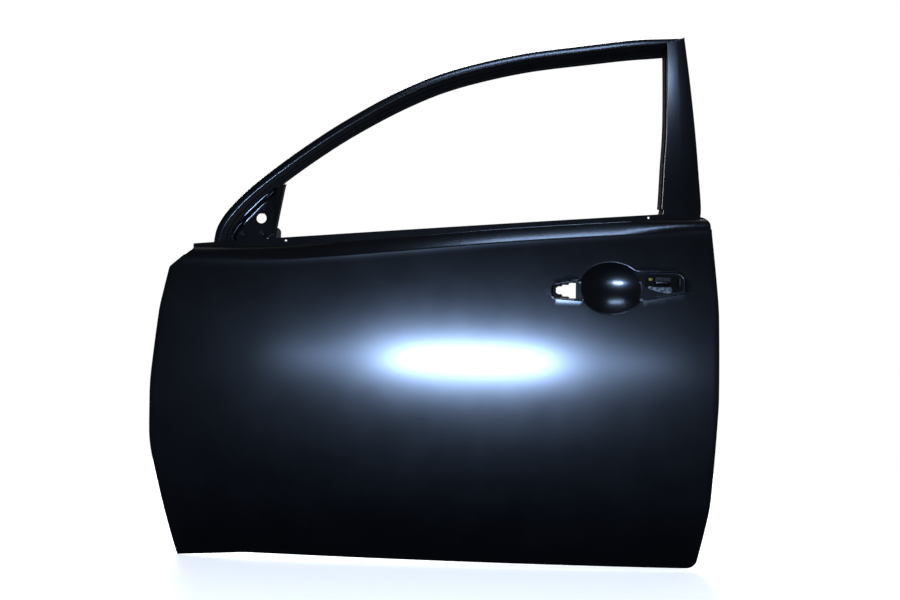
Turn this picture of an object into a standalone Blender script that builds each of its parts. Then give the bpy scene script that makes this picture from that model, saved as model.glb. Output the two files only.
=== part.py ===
"""Left front door shell of a two-door car: a pressed skin hemmed round an inner panel, with a
rolled and welded window frame, run channels, reinforcements and an impact beam.

Metres. X runs from the front edge to the rear edge, Y from the outside into the cabin, Z up.
The sizes are set in door coordinates: x = 0 mid-door, y = 0 at the outermost point of the skin,
z = 0 at the lower edge. The finished door is then hung from the seat of its upper hinge."""

import math

import bmesh
import bpy
from mathutils import Vector
from mathutils.geometry import delaunay_2d_cdt

# Sheet thicknesses and the gap that pieces keep where they meet
SKIN_SHEET = 0.0008
INNER_SHEET = 0.0008
SASH_SHEET = 0.0010
CHANNEL_SHEET = 0.0010
PLATE_SHEET = 0.0012
HINGE_PLATE = 0.0025
FIT = 0.0003

# Lower part of the skin: crowned in plan and in height, and turned under at the bottom
PLAN_CENTRE = 0.200
PLAN_RADIUS = 8.0
BARREL_HEIGHT = 0.362
BARREL_RADIUS = 1.5
UNDER_HEIGHT = 0.150
UNDER_RADIUS = 0.9

# Shoulder: a crease, a roll above it up to the belt fold, and the flange above the fold
SHOULDER_DROP = 0.030
SHOULDER_RADIUS = 0.033
CREASE_BLEND = 0.014
CREASE_EASE = 0.16
FLANGE_LEAN = 0.2126
BELT_FOLD = ((-0.600, 0.6655), (-0.440, 0.669), (-0.327, 0.675), (-0.111, 0.697),
             (0.104, 0.720), (0.320, 0.739), (0.494, 0.752), (0.600, 0.757))
BELT_TOP_FRONT = (-0.562, 0.6735)
BELT_TOP_REAR = (0.444, 0.7615)

# Door outline in elevation, corner by corner from the top of the front edge, down, along the
# sill, up the rear edge and back along the belt: x, z, radius, arc steps
OUTLINE = (
    (*BELT_TOP_FRONT, 0.002, 2),
    (-0.5605, 0.6625, 0.003, 2),
    (-0.6070, 0.6220, 0.012, 3),
    (-0.6235, 0.5350, 0.300, 2),
    (-0.6380, 0.3750, 0.600, 2),
    (-0.6375, 0.2450, 0.300, 3),
    (-0.5820, -0.0060, 0.002, 2),
    (-0.4300, 0.0060, 0.300, 2),
    (0.5430, -0.0010, 0.022, 4),
    (0.5640, 0.1400, 0.400, 2),
    (0.5730, 0.3600, 0.600, 2),
    (0.5710, 0.5600, 0.800, 2),
    (0.5560, 0.7575, 0.020, 4),
    (*BELT_TOP_REAR, 0.030, 2),
)
SIDE_STEPS = (1, 4, 2, 3, 2, 6, 3, 9, 3, 3, 4, 5, 3, 17)
TOP_SIDES = (12, 13)

# Shut walls of the inner panel, with the same corners in the same order
HINGE_WALL = -0.596
LATCH_WALL = 0.544
TOP_DROP = 0.0055
WALL = (
    (-0.5350, 0.6704, 0.004, 2),
    (-0.5370, 0.6520, 0.006, 2),
    (-0.5860, 0.5980, 0.020, 3),
    (HINGE_WALL, 0.5650, 0.020, 2),
    (HINGE_WALL, 0.3550, 0.002, 2),
    (HINGE_WALL, 0.1500, 0.040, 3),
    (-0.5600, 0.0340, 0.030, 2),
    (-0.4300, 0.0370, 0.300, 2),
    (0.5250, 0.0330, 0.035, 4),
    (0.5415, 0.1500, 0.100, 2),
    (LATCH_WALL, 0.3300, 0.600, 2),
    (LATCH_WALL, 0.5600, 0.300, 2),
    (0.5340, 0.7520, 0.014, 4),
    (BELT_TOP_REAR[0], BELT_TOP_REAR[1] - TOP_DROP, 0.030, 2),
)

# Hem and inner panel section, from the edge inwards
HEM_FIT = 0.0005
HEM_RADIUS = SKIN_SHEET + HEM_FIT + INNER_SHEET / 2
HEM_RETURN = 0.0095
HEM_STEPS = 3
FLANGE_WIDTH = 0.013
STEP_WIDTH = 0.004
STEP_DEPTH = 0.014
WALL_BLEND = 0.007
WALL_FOOT = 0.12
WALL_DRAFT = 0.0006
TRIM_PLANE = 0.119

# Window frame surface, and the sections of the two sashes
FRAME_HEIGHT = 0.720
FRAME_DEPTH = 0.060
FRAME_LEAN = 0.2
FRAME_RADIUS = 2.2
SASH_DEPTH = 0.0335
LIP_DEPTH = 0.006
LIP_HANG = 0.0045
MITRE_GAP = 0.0010
HEADER_CLEAR = 0.433
CHANNEL_DEPTH = 0.028
HEADER_FACE = 0.0155
HEADER_EDGE = ((-0.516, 0.600), (-0.517, 0.682), (-0.505, 0.726), (-0.472, 0.771), (-0.425, 0.817),
               (-0.341, 0.886), (-0.243, 0.957), (-0.124, 1.030), (-0.011, 1.081),
               (0.141, 1.124), (0.295, 1.151), (0.417, 1.170), (0.520, 1.177))
HEADER_CHANNEL = (0.021, 0.021, 0.021, 0.021, 0.021, 0.0215, 0.0225, 0.025, 0.026, 0.0265, 0.0275,
                  0.029, 0.030)
PILLAR_EDGE = ((0.520, 1.177), (0.5265, 1.073), (0.5330, 0.955), (0.5370, 0.860), (0.5400, 0.772),
               (0.5315, 0.740), (0.5200, 0.700), (0.5120, 0.640))
PILLAR_FACE = (0.042, 0.0520, 0.064, 0.0765, 0.0860, 0.0785, 0.0680, 0.0620)
PILLAR_CHANNEL = 0.0055

# Run channels of the door glass, below the frame
RUN_DEPTH = 0.014
RUN_OUTER = 0.0153
RUN_INNER = 0.033
FRONT_RUN = ((-0.3690, 0.815), (-0.3835, 0.713), (-0.3980, 0.600), (-0.4100, 0.500), (-0.4160, 0.420))
REAR_RUN = ((0.4450, 0.6355), (0.4430, 0.530), (0.4410, 0.430), (0.4400, 0.330))

# Outside handle: finger dish, the pockets before and behind it, and their openings
DISH_CENTRE = (0.342, 0.599)
DISH_HALF = (0.0687, 0.0554)
DISH_DEPTH = 0.024
POCKET_DEPTH = 0.003
POCKET_WALL = 0.0035
FRONT_POCKET = ((0.215, 0.575, 0.011, 3), (0.300, 0.5700, 0.002, 1), (0.300, 0.6200, 0.002, 1),
                (0.215, 0.6020, 0.011, 3))
FRONT_OPENING = ((0.2230, 0.5820, 0.005, 2), (0.2680, 0.5765, 0.002, 1), (0.2680, 0.6080, 0.002, 1),
                 (0.2230, 0.5985, 0.005, 2))
REAR_POCKET = ((0.390, 0.5720, 0.002, 1), (0.5010, 0.5930, 0.006, 2), (0.5010, 0.6365, 0.022, 4),
               (0.390, 0.6365, 0.002, 1))
REAR_OPENING = ((0.4130, 0.6060, 0.002, 1), (0.4250, 0.5980, 0.004, 1), (0.4690, 0.5980, 0.001, 1),
                (0.4710, 0.5925, 0.002, 1), (0.4930, 0.5970, 0.003, 1), (0.4930, 0.6300, 0.010, 3),
                (0.4130, 0.6300, 0.003, 1))
REAR_WINDOW = ((0.4320, 0.6035, 0.002, 1), (0.4850, 0.6035, 0.002, 1), (0.4850, 0.6250, 0.004, 1),
               (0.4320, 0.6250, 0.002, 1))
STEPPED_OPENING = ((0.2240, 0.5865), (0.2290, 0.5835), (0.2360, 0.5835), (0.2380, 0.5790),
                   (0.2500, 0.5790), (0.2530, 0.5755), (0.2660, 0.5755), (0.2660, 0.6080),
                   (0.2530, 0.6080), (0.2500, 0.6035), (0.2380, 0.6035), (0.2360, 0.6000),
                   (0.2290, 0.6000), (0.2240, 0.5965))

# Sail plate that carries the outside mirror
SAIL_SHEET = 0.001
SAIL_DEPTH = 0.0137
SAIL_FRONT = -0.478
SAIL_BACK = -0.389
SAIL_HEEL = (0.635, -0.4080)
SAIL_CORNER = (-0.4060, 0.6860)
SAIL_OVERLAP = 0.005
SAIL_LIP = 0.001
SAIL_JOGGLE = 0.009
SAIL_FOOT = 0.672
SAIL_FOOT_RISE = 0.020
MIRROR_HOLE = (-0.417, 0.733)
MIRROR_HOLE_RADIUS = 0.011
MIRROR_SCREWS = ((-0.4130, 0.7535), (-0.4560, 0.6970), (-0.4130, 0.6990))
SCREW_HOLE = 0.0033
DOUBLER = (-0.4640, -0.4045, 0.6860)
PAD_OUTLINE = ((-0.3960, 0.6600, 0.002, 1), (-0.3755, 0.6600, 0.002, 1), (-0.3755, 0.7145, 0.010, 3),
               (-0.3960, 0.7145, 0.003, 1))
PAD_THICKNESS = 0.004
BELT_HOLES = ((-0.3575, 0.6840), (0.4235, 0.7535))
BELT_HOLE = 0.0025

# Hinges, check strap, wiring and latch
HINGE_SEAT = 0.088
UPPER_HINGE = 0.500
LOWER_HINGE = 0.200
HINGE_HALF = (0.020, 0.044)
HINGE_BOLT_SPACING = 0.046
HINGE_HOLE = 0.0065
CHECK_HEIGHT = 0.355
CHECK_SLOT = (0.014, 0.030)
WIRING_HEIGHT = 0.420
WIRING_HOLE = 0.015
LATCH_SEAT = (0.066, 0.455)
LATCH_HOLE = (0.034, 0.050)
LATCH_PLATE = (0.064, 0.110)
LATCH_SCREWS = ((-0.024, 0.036), (-0.024, -0.036), (0.024, 0.036))

# Openings of the inner wall: corners with radii, the loudspeaker, and small round holes
FRONT_ACCESS = ((-0.300, 0.410, 0.045, 4), (-0.030, 0.410, 0.045, 4), (-0.030, 0.640, 0.045, 4),
                (-0.300, 0.610, 0.045, 4))
REAR_ACCESS = ((0.050, 0.430, 0.040, 4), (0.310, 0.430, 0.040, 4), (0.310, 0.655, 0.040, 4),
               (0.050, 0.645, 0.040, 4))
LOWER_ACCESS = ((-0.190, 0.110, 0.050, 4), (0.330, 0.110, 0.050, 4), (0.330, 0.290, 0.050, 4),
                (-0.190, 0.290, 0.050, 4))
LATCH_ACCESS = ((0.372, 0.340, 0.018, 3), (0.450, 0.340, 0.018, 3), (0.450, 0.470, 0.018, 3),
                (0.372, 0.470, 0.018, 3))
SPEAKER = (-0.385, 0.235)
SPEAKER_RADIUS = 0.078
SPEAKER_LAND = 0.092
EMBOSS = 0.005
EMBOSS_WALL = 0.006
BEADS = (((-0.250, 0.350), (0.330, 0.350)), ((0.400, 0.150), (0.400, 0.290)))
BEAD_HALF = 0.012
CLIP_HOLE = 0.0045
CLIP_HOLES = ((-0.560, 0.600), (-0.570, 0.420), (-0.570, 0.130), (-0.450, 0.075), (-0.200, 0.070),
              (0.080, 0.070), (0.340, 0.070), (0.500, 0.090), (0.512, 0.300), (0.512, 0.520),
              (0.500, 0.690))
SCREW_POINTS = ((-0.340, 0.520), (0.010, 0.530), (0.345, 0.560), (0.020, 0.330))
DRAIN_PLACES = (-0.420, 0.020, 0.420)
DRAIN_RADIUS = 0.007

# Impact beam
BEAM_FRONT = (-0.560, 0.0600, 0.285)
BEAM_REAR = (0.512, 0.0400, 0.215)
BEAM_RADIUS = 0.0150
BEAM_WALL = 0.002
SADDLE_LENGTH = 0.085
SADDLE_HALF = 0.032
SADDLE_FIT = 0.0008

# Stiffener behind the skin, belt reinforcements
STIFFENER = (-0.480, 0.180, 0.500)
STIFFENER_HALF = 0.030
STIFFENER_RISE = 0.008
BELT_PIECE_FRONT = -0.350
BELT_PIECE_REAR = 0.434

NUT_FLATS = 0.013
NUT_HEIGHT = 0.0065
NUT_BORE = 0.0040
MIRROR_NUT_FLATS = 0.010
MIRROR_NUT_HEIGHT = 0.005
MIRROR_NUT_BORE = 0.0025

WELD = 0.00002
SLIVER = 2e-8
STRAIGHT = 1e-6
GRID = 0.070
CAVITY_FACE = TRIM_PLANE - INNER_SHEET


# Clear the scene, and make the two collections and the empty that the door hangs from
for old in list(bpy.data.objects):
    bpy.data.objects.remove(old, do_unlink=True)
door = bpy.data.collections.new("car_door_shell")
cutters = bpy.data.collections.new("cutters")
bpy.context.scene.collection.children.link(door)
bpy.context.scene.collection.children.link(cutters)
datum = bpy.data.objects.new("upper_hinge_datum", None)
datum.location = (-HINGE_WALL, -HINGE_SEAT, -UPPER_HINGE)
door.objects.link(datum)


def finish_colour(name, colour, roughness, metallic):
    """A painted or plated metal finish."""
    material = bpy.data.materials.new(name)
    material.use_nodes = True
    shader = material.node_tree.nodes["Principled BSDF"]
    shader.inputs["Base Color"].default_value = (*colour, 1.0)
    shader.inputs["Roughness"].default_value = roughness
    shader.inputs["Metallic"].default_value = metallic
    return material


def curve_through(points):
    """A smooth height over x through the points, with the slope at each taken from its neighbours."""
    slopes = []
    for i in range(len(points)):
        a = points[max(i - 1, 0)]
        b = points[min(i + 1, len(points) - 1)]
        slopes.append((b[1] - a[1]) / (b[0] - a[0]))

    def height(x):
        i = 0
        while i < len(points) - 2 and x > points[i + 1][0]:
            i += 1
        (x0, z0), (x1, z1) = points[i], points[i + 1]
        w = x1 - x0
        t = (x - x0) / w
        return (z0 * (1 + 2 * t) * (1 - t) ** 2 + z1 * t * t * (3 - 2 * t)
                + w * slopes[i] * t * (1 - t) ** 2 - w * slopes[i + 1] * t * t * (1 - t))

    return height


belt_fold = curve_through(BELT_FOLD)


def belt_top(x):
    """Height of the free edge of the belt flange, a straight line from the front tab to the pillar."""
    (x0, z0), (x1, z1) = BELT_TOP_FRONT, BELT_TOP_REAR
    return z0 + (z1 - z0) * (x - x0) / (x1 - x0)


def skin_depth(x, z):
    """Depth of the skin's outer face: crowned body, crease, shoulder roll and belt flange."""
    fold = belt_fold(x)
    crease = fold - SHOULDER_DROP
    body = min(z, crease)
    depth = (x - PLAN_CENTRE) ** 2 / (2 * PLAN_RADIUS) + (body - BARREL_HEIGHT) ** 2 / (2 * BARREL_RADIUS)
    depth += max(UNDER_HEIGHT - body, 0.0) ** 2 / (2 * UNDER_RADIUS)
    depth -= CREASE_EASE * max(body - crease + CREASE_BLEND, 0.0) ** 2 / (2 * CREASE_BLEND)
    if z > crease:
        rise = min(z, fold) - crease
        depth += SHOULDER_RADIUS - math.sqrt(SHOULDER_RADIUS ** 2 - rise ** 2)
    if z > fold:
        depth += FLANGE_LEAN * (z - fold)
    return depth


def frame_depth(x, z):
    """Depth of the window frame's outer face, which leans in and bends with the side glass."""
    h = z - FRAME_HEIGHT
    return (FRAME_DEPTH + FRAME_LEAN * h + h * h / (2 * FRAME_RADIUS)
            + (x - PLAN_CENTRE) ** 2 / (2 * PLAN_RADIUS))


def rounded(corners, insets=None, side_steps=None, least=0.002):
    """A closed outline round the corners (x, z, radius, arc steps), counter-clockwise, each side
    moved inwards by its inset and divided into its steps, and each corner rounded."""
    n = len(corners)
    insets = insets or [0.0] * n
    side_steps = side_steps or [1] * n
    lines = []
    for i in range(n):
        a = Vector(corners[i][:2])
        b = Vector(corners[(i + 1) % n][:2])
        d = (b - a).normalized()
        lines.append((a + Vector((-d.y, d.x)) * insets[i], d))
    arcs = []
    for i in range(n):
        (p, d), (q, e) = lines[i - 1], lines[i]
        cross = d.x * e.y - d.y * e.x
        turn = math.atan2(cross, d.dot(e))
        if abs(turn) < STRAIGHT:
            arcs.append([q + d * least * (2 * k / corners[i][3] - 1) for k in range(corners[i][3] + 1)])
            continue
        corner = p + d * (((q - p).x * e.y - (q - p).y * e.x) / cross)
        inset = (insets[i - 1] + insets[i]) / 2
        radius = max(corners[i][2] - math.copysign(inset, turn), least)
        reach = radius * math.tan(abs(turn) / 2)
        steps = corners[i][3]
        side = Vector((-d.y, d.x)) * math.copysign(radius, turn)
        centre = corner - d * reach + side
        arc = []
        for k in range(steps + 1):
            angle = turn * k / steps
            spoke = Vector((-side.x * math.cos(angle) + side.y * math.sin(angle),
                            -side.x * math.sin(angle) - side.y * math.cos(angle)))
            arc.append(centre + spoke)
        arcs.append(arc)
    loop = []
    for i in range(n):
        loop.extend(arcs[i])
        start, end = arcs[i][-1], arcs[(i + 1) % n][0]
        for k in range(1, side_steps[i]):
            loop.append(start.lerp(end, k / side_steps[i]))
    return [(p.x, p.y) for p in loop]


def door_ring(corners, inset=0.0):
    """The door outline or the shut walls' outline, moved inwards on every side but the belt."""
    insets = [0.0 if side in TOP_SIDES else inset for side in range(len(corners))]
    return rounded(corners, insets, SIDE_STEPS)


def corner_start(corner):
    """Place in a door ring of the first point of a corner's arc."""
    return sum(OUTLINE[i][3] + SIDE_STEPS[i] for i in range(corner))


# The hem and the shut walls run from below the shoulder at the front, under the door, to the
# foot of the upper rear corner
HEM_START = corner_start(1) + OUTLINE[1][3] + 3
HEM_END = corner_start(TOP_SIDES[0])


def circle(centre, radius, count=12, half=None):
    """A closed round or, with half axes, elliptical loop."""
    a, b = half or (radius, radius)
    return [(centre[0] + a * math.cos(math.tau * i / count), centre[1] + b * math.sin(math.tau * i / count))
            for i in range(count)]


def capsule(ends, half, steps=4):
    """A closed loop at one distance round a straight line."""
    (x0, z0), (x1, z1) = ends
    heading = math.atan2(z1 - z0, x1 - x0)
    loop = []
    for (x, z), turn in (((x1, z1), heading - math.pi / 2), ((x0, z0), heading + math.pi / 2)):
        for k in range(steps + 1):
            angle = turn + math.pi * k / steps
            loop.append((x + half * math.cos(angle), z + half * math.sin(angle)))
    return loop


def inside(point, loop):
    """Whether a point lies in a closed loop."""
    x, z = point
    hit = False
    for (x0, z0), (x1, z1) in zip(loop, loop[1:] + loop[:1]):
        if (z0 > z) != (z1 > z) and x < x0 + (z - z0) * (x1 - x0) / (z1 - z0):
            hit = not hit
    return hit


def distance_to(point, loop, closed=True):
    """Distance from a point to a loop or line, in elevation."""
    p = Vector(point)
    best = math.inf
    for a, b in zip(loop, loop[1:] + loop[:1] if closed else loop[1:]):
        a, b = Vector(a), Vector(b)
        along = b - a
        t = min(max((p - a).dot(along) / max(along.length_squared, 1e-12), 0.0), 1.0)
        best = min(best, (p - a - along * t).length)
    return best


def blank(bm, outline, holes=(), lines=(), loops=(), grid=GRID, depth=skin_depth):
    """A flat sheet cut to its outline and holes, divided along the given lines and loops, and
    pressed to its depth over elevation."""
    points = []
    edges = []

    def add(path, closed):
        first = len(points)
        points.extend(path)
        edges.extend((first + i, first + i + 1) for i in range(len(path) - 1))
        if closed:
            edges.append((first + len(path) - 1, first))

    for loop in (outline, *holes, *loops):
        add(list(loop), True)
    for line in lines:
        add(list(line), False)
    paths = [(outline, True)] + [(h, True) for h in (*holes, *loops)] + [(m, False) for m in lines]
    low_x, high_x = min(p[0] for p in outline), max(p[0] for p in outline)
    low_z, high_z = min(p[1] for p in outline), max(p[1] for p in outline)
    columns = max(int((high_x - low_x) / grid), 1)
    rows = max(int((high_z - low_z) / grid), 1)
    for i in range(columns):
        for k in range(rows):
            spot = (low_x + (high_x - low_x) * (i + 0.5) / columns,
                    low_z + (high_z - low_z) * (k + 0.5) / rows)
            if not inside(spot, outline) or any(inside(spot, hole) for hole in holes):
                continue
            if min(distance_to(spot, path, closed) for path, closed in paths) > 0.4 * grid:
                points.append(spot)
    found, _, faces, _, _, _ = delaunay_2d_cdt([Vector(p) for p in points], edges, [], 0, 1e-7)
    verts = [bm.verts.new((p.x, depth(p.x, p.y), p.y)) for p in found]
    for face in faces:
        middle = sum((found[i] for i in face), Vector((0.0, 0.0))) / len(face)
        a, b, c = (found[i] for i in face)
        if abs((b - a).cross(c - a)) < SLIVER:
            continue
        if inside(middle, outline) and not any(inside(middle, hole) for hole in holes):
            bm.faces.new([verts[i] for i in face])
    bmesh.ops.delete(bm, geom=[v for v in verts if not v.link_faces], context="VERTS")


def divided(loop, step):
    """A closed loop with its long sides divided."""
    points = []
    for a, b in zip(loop, loop[1:] + loop[:1]):
        count = max(math.ceil(math.dist(a, b) / step), 1)
        points += [(a[0] + (b[0] - a[0]) * k / count, a[1] + (b[1] - a[1]) * k / count) for k in range(count)]
    return points


def loft(bm, rings, closed=False):
    """Faces between rings of as many points each."""
    rows = [[bm.verts.new(p) for p in ring] for ring in rings]
    count = len(rings[0])
    for a, b in zip(rows, rows[1:]):
        for i in range(count if closed else count - 1):
            j = (i + 1) % count
            bm.faces.new((a[i], a[j], b[j], b[i]))


def in_depth(ring, depth, extra=0.0):
    """Points of an outline in elevation, set at a depth."""
    return [(x, depth(x, z) + extra, z) for x, z in ring]


def make(name, bm, finish, sheet=None, face=(0.0, -1.0, 0.0), cut_by=None):
    """A piece from its surface: the surface faces the given way, and the sheet lies behind it."""
    bmesh.ops.remove_doubles(bm, verts=bm.verts, dist=WELD)
    bmesh.ops.recalc_face_normals(bm, faces=bm.faces)
    if face:
        total = sum((f.normal * f.calc_area() for f in bm.faces), Vector())
        if total.dot(Vector(face)) < 0:
            bmesh.ops.reverse_faces(bm, faces=bm.faces)
    mesh = bpy.data.meshes.new(name)
    bm.to_mesh(mesh)
    bm.free()
    mesh.materials.append(finish)
    mesh.shade_smooth()
    mesh.set_sharp_from_angle(angle=math.radians(30))
    piece = bpy.data.objects.new(name, mesh)
    door.objects.link(piece)
    piece.parent = datum
    if sheet:
        shell = piece.modifiers.new("sheet", "SOLIDIFY")
        shell.thickness = sheet
        shell.offset = -1.0
        shell.use_even_offset = True
    if cut_by:
        cut = piece.modifiers.new("holes", "BOOLEAN")
        cut.operand_type = "COLLECTION"
        cut.collection = cut_by
        cut.solver = "EXACT"
    return piece


def cutter_group(name):
    group = bpy.data.collections.new(name)
    cutters.children.link(group)
    return group


def add_cutter(group, name, centre, radius=None, size=None, axis="X", length=0.02):
    """A round or square-cornered cutter across a wall."""
    bm = bmesh.new()
    if radius:
        bmesh.ops.create_cone(bm, cap_ends=True, segments=16, radius1=radius, radius2=radius, depth=length)
        turn = {"X": (0.0, math.pi / 2, 0.0), "Y": (math.pi / 2, 0.0, 0.0), "Z": (0.0, 0.0, 0.0)}[axis]
    else:
        bmesh.ops.create_cube(bm, size=1.0)
        bmesh.ops.scale(bm, vec=Vector(size), verts=bm.verts)
        bmesh.ops.bevel(bm, geom=[e for e in bm.edges if abs((e.verts[0].co - e.verts[1].co).x) > 1e-6],
                        offset=min(size[1], size[2]) * 0.2, segments=2, profile=0.5, affect="EDGES")
        turn = (0.0, 0.0, 0.0)
    mesh = bpy.data.meshes.new(name)
    bm.to_mesh(mesh)
    bm.free()
    cutter = bpy.data.objects.new(name, mesh)
    cutter.rotation_euler = turn
    cutter.location = centre
    cutter.parent = datum
    cutter.hide_render = True
    cutter.display_type = "WIRE"
    group.objects.link(cutter)


primer = finish_colour("black_dip_primer", (0.012, 0.015, 0.019), 0.35, 0.0)


# Skin: one pressing, hemmed round the inner panel's flange
def dish_depth(x, z):
    """The finger dish behind the handle, a shallow bowl with a crisp rim."""
    reach = ((x - DISH_CENTRE[0]) / DISH_HALF[0]) ** 2 + ((z - DISH_CENTRE[1]) / DISH_HALF[1]) ** 2
    return DISH_DEPTH * max(1.0 - reach, 0.0)


front_pocket = rounded(FRONT_POCKET)
rear_pocket = rounded(REAR_POCKET)


def pocket_depth(x, z):
    """The two pockets that the handle's pads sit in."""
    deepest = 0.0
    for pocket in (front_pocket, rear_pocket):
        if inside((x, z), pocket):
            run = min(distance_to((x, z), pocket) / POCKET_WALL, 1.0)
            deepest = max(deepest, POCKET_DEPTH * run)
    return deepest


def pressed_depth(x, z):
    return skin_depth(x, z) + max(dish_depth(x, z), pocket_depth(x, z))


def shrink(corners, inset):
    return rounded(corners, [inset] * len(corners))


def kept_inside(line, loop, clear):
    return [p for p in line if inside(p, loop) and distance_to(p, loop) > clear]


def stiffener_stations():
    front, rear, _ = STIFFENER
    return [front + (rear - front) * i / 10 for i in range(11)]


def outer_panel():
    bm = bmesh.new()
    edge = door_ring(OUTLINE, HEM_RADIUS)
    seam = door_ring(OUTLINE, FLANGE_WIDTH + HEM_RADIUS)[HEM_START:HEM_END]
    rows = []
    for drop in (SHOULDER_DROP + CREASE_BLEND, SHOULDER_DROP, 0.020, 0.011, 0.005, 0.0):
        places = [-0.600 + 1.160 * i / 22 for i in range(23)]
        row = [(x, belt_fold(x) - drop) for x in places]
        rows.append(kept_inside(row, edge, 0.004 if drop else 0.0015))
    seam_clear = [[p for p in row if distance_to(p, seam, False) > 0.004] for row in rows]
    dish = [circle(DISH_CENTRE, None, 24, [h * share for h in DISH_HALF]) for share in (1.0, 0.75, 0.4)]
    dish_holes = [rounded(FRONT_OPENING), rounded(REAR_OPENING)]
    belt_holes = [circle(place, BELT_HOLE, 8) for place in BELT_HOLES]
    pockets = [front_pocket, rear_pocket, shrink(FRONT_POCKET, POCKET_WALL), shrink(REAR_POCKET, POCKET_WALL)]
    clipped = []
    for loop in pockets:
        run = [p for p in loop if ((p[0] - DISH_CENTRE[0]) / DISH_HALF[0]) ** 2
               + ((p[1] - DISH_CENTRE[1]) / DISH_HALF[1]) ** 2 > 1.02]
        turn = max(range(len(run)), key=lambda i: (Vector(run[i]) - Vector(run[i - 1])).length)
        clipped.append(run[turn:] + run[:turn])
    seats = [[(x, STIFFENER[2] + share * STIFFENER_HALF) for x in stiffener_stations()]
             for share in (-1.0, -0.6, 0.6, 1.0)]
    blank(bm, edge, dish_holes + belt_holes, seam_clear + [seam] + clipped + seats, dish, depth=pressed_depth)
    hem = []
    for k in range(HEM_STEPS + 1):
        angle = math.pi * k / HEM_STEPS
        inset = HEM_RADIUS * (1 - math.sin(angle))
        ring = door_ring(OUTLINE, inset)[HEM_START:HEM_END]
        hem.append(in_depth(ring, skin_depth, HEM_RADIUS * (1 - math.cos(angle))))
    hem[0] = in_depth(edge[HEM_START:HEM_END], skin_depth)
    hem.append(in_depth(door_ring(OUTLINE, HEM_RETURN)[HEM_START:HEM_END], skin_depth, 2 * HEM_RADIUS))
    loft(bm, hem)
    make("outer_panel", bm, primer, SKIN_SHEET)


# Inner panel: hem flange, step, shut walls and the inner wall with its openings, in one pressing
def trim_depth(x, z):
    """Cabin face of the inner wall, with the loudspeaker's land and the beads raised."""
    rise = SPEAKER_LAND - math.dist((x, z), SPEAKER)
    for bead in BEADS:
        rise = max(rise, BEAD_HALF - distance_to((x, z), list(bead), False))
    return TRIM_PLANE + EMBOSS * min(max(rise / EMBOSS_WALL, 0.0), 1.0)


def wall_foot(x, z):
    """Line round the shut walls where their flat band for the seats begins."""
    land = skin_depth(x, z) + STEP_DEPTH
    return land + (TRIM_PLANE - WALL_BLEND - land) * WALL_FOOT


wall_cutters = cutter_group("wall_cutters")
for name, height in (("upper", UPPER_HINGE), ("lower", LOWER_HINGE)):
    for k, side in enumerate((-1, 1)):
        add_cutter(wall_cutters, f"{name}_hinge_hole_{k}",
                   (HINGE_WALL, HINGE_SEAT, height + side * HINGE_BOLT_SPACING / 2), HINGE_HOLE)
add_cutter(wall_cutters, "check_slot", (HINGE_WALL, HINGE_SEAT, CHECK_HEIGHT), size=(0.02, *CHECK_SLOT))
add_cutter(wall_cutters, "wiring_hole", (HINGE_WALL, HINGE_SEAT, WIRING_HEIGHT), WIRING_HOLE)
latch_cutters = cutter_group("latch_cutters")
add_cutter(latch_cutters, "latch_hole", (LATCH_WALL, *LATCH_SEAT), size=(0.02, *LATCH_HOLE))
for k, (dy, dz) in enumerate(LATCH_SCREWS):
    add_cutter(latch_cutters, f"latch_screw_{k}", (LATCH_WALL, LATCH_SEAT[0] + dy, LATCH_SEAT[1] + dz),
               SCREW_HOLE)
drain_cutters = cutter_group("drain_cutters")
for k, x in enumerate(DRAIN_PLACES):
    add_cutter(drain_cutters, f"drain_{k}", (x, 0.085, 0.034), DRAIN_RADIUS, axis="Z")


def inner_panel():
    bm = bmesh.new()
    span = slice(HEM_START, HEM_END)
    grip = 2 * HEM_RADIUS - SKIN_SHEET - HEM_FIT
    flange = FLANGE_WIDTH + STEP_WIDTH
    rings = [
        in_depth(door_ring(OUTLINE, HEM_RADIUS + HEM_FIT)[span], skin_depth, grip),
        in_depth(door_ring(OUTLINE, FLANGE_WIDTH)[span], skin_depth, grip),
        in_depth(door_ring(OUTLINE, flange)[span], skin_depth, STEP_DEPTH),
    ]
    loft(bm, rings)
    root = door_ring(WALL, -WALL_DRAFT)[span]
    land = door_ring(OUTLINE, flange)[span] + list(reversed(root))
    blank(bm, land, depth=lambda x, z: skin_depth(x, z) + STEP_DEPTH)
    rings = [
        in_depth(root, skin_depth, STEP_DEPTH),
        in_depth(door_ring(WALL)[span], wall_foot),
        in_depth(door_ring(WALL)[span], lambda x, z: TRIM_PLANE, -WALL_BLEND),
        in_depth(door_ring(WALL, WALL_BLEND * 0.3)[span], lambda x, z: TRIM_PLANE, -WALL_BLEND * 0.3),
        in_depth(door_ring(WALL, WALL_BLEND)[span], lambda x, z: TRIM_PLANE),
    ]
    loft(bm, rings)
    outline = door_ring(WALL, WALL_BLEND)
    holes = [rounded(hole) for hole in (FRONT_ACCESS, REAR_ACCESS, LOWER_ACCESS, LATCH_ACCESS)]
    holes.append(circle(SPEAKER, SPEAKER_RADIUS, 28))
    holes += [circle(place, CLIP_HOLE, 8) for place in CLIP_HOLES + SCREW_POINTS]
    loops = [circle(SPEAKER, SPEAKER_LAND, 28), circle(SPEAKER, SPEAKER_LAND - EMBOSS_WALL, 28)]
    for bead in BEADS:
        loops += [capsule(bead, BEAD_HALF), capsule(bead, BEAD_HALF - EMBOSS_WALL)]
    blank(bm, outline, holes, loops=loops, grid=0.080, depth=trim_depth)
    piece = make("inner_panel", bm, primer, INNER_SHEET, face=(0.0, 1.0, 0.0), cut_by=wall_cutters)
    for group in (latch_cutters, drain_cutters):
        cut = piece.modifiers.new("holes", "BOOLEAN")
        cut.operand_type = "COLLECTION"
        cut.collection = group
        cut.solver = "EXACT"


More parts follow.
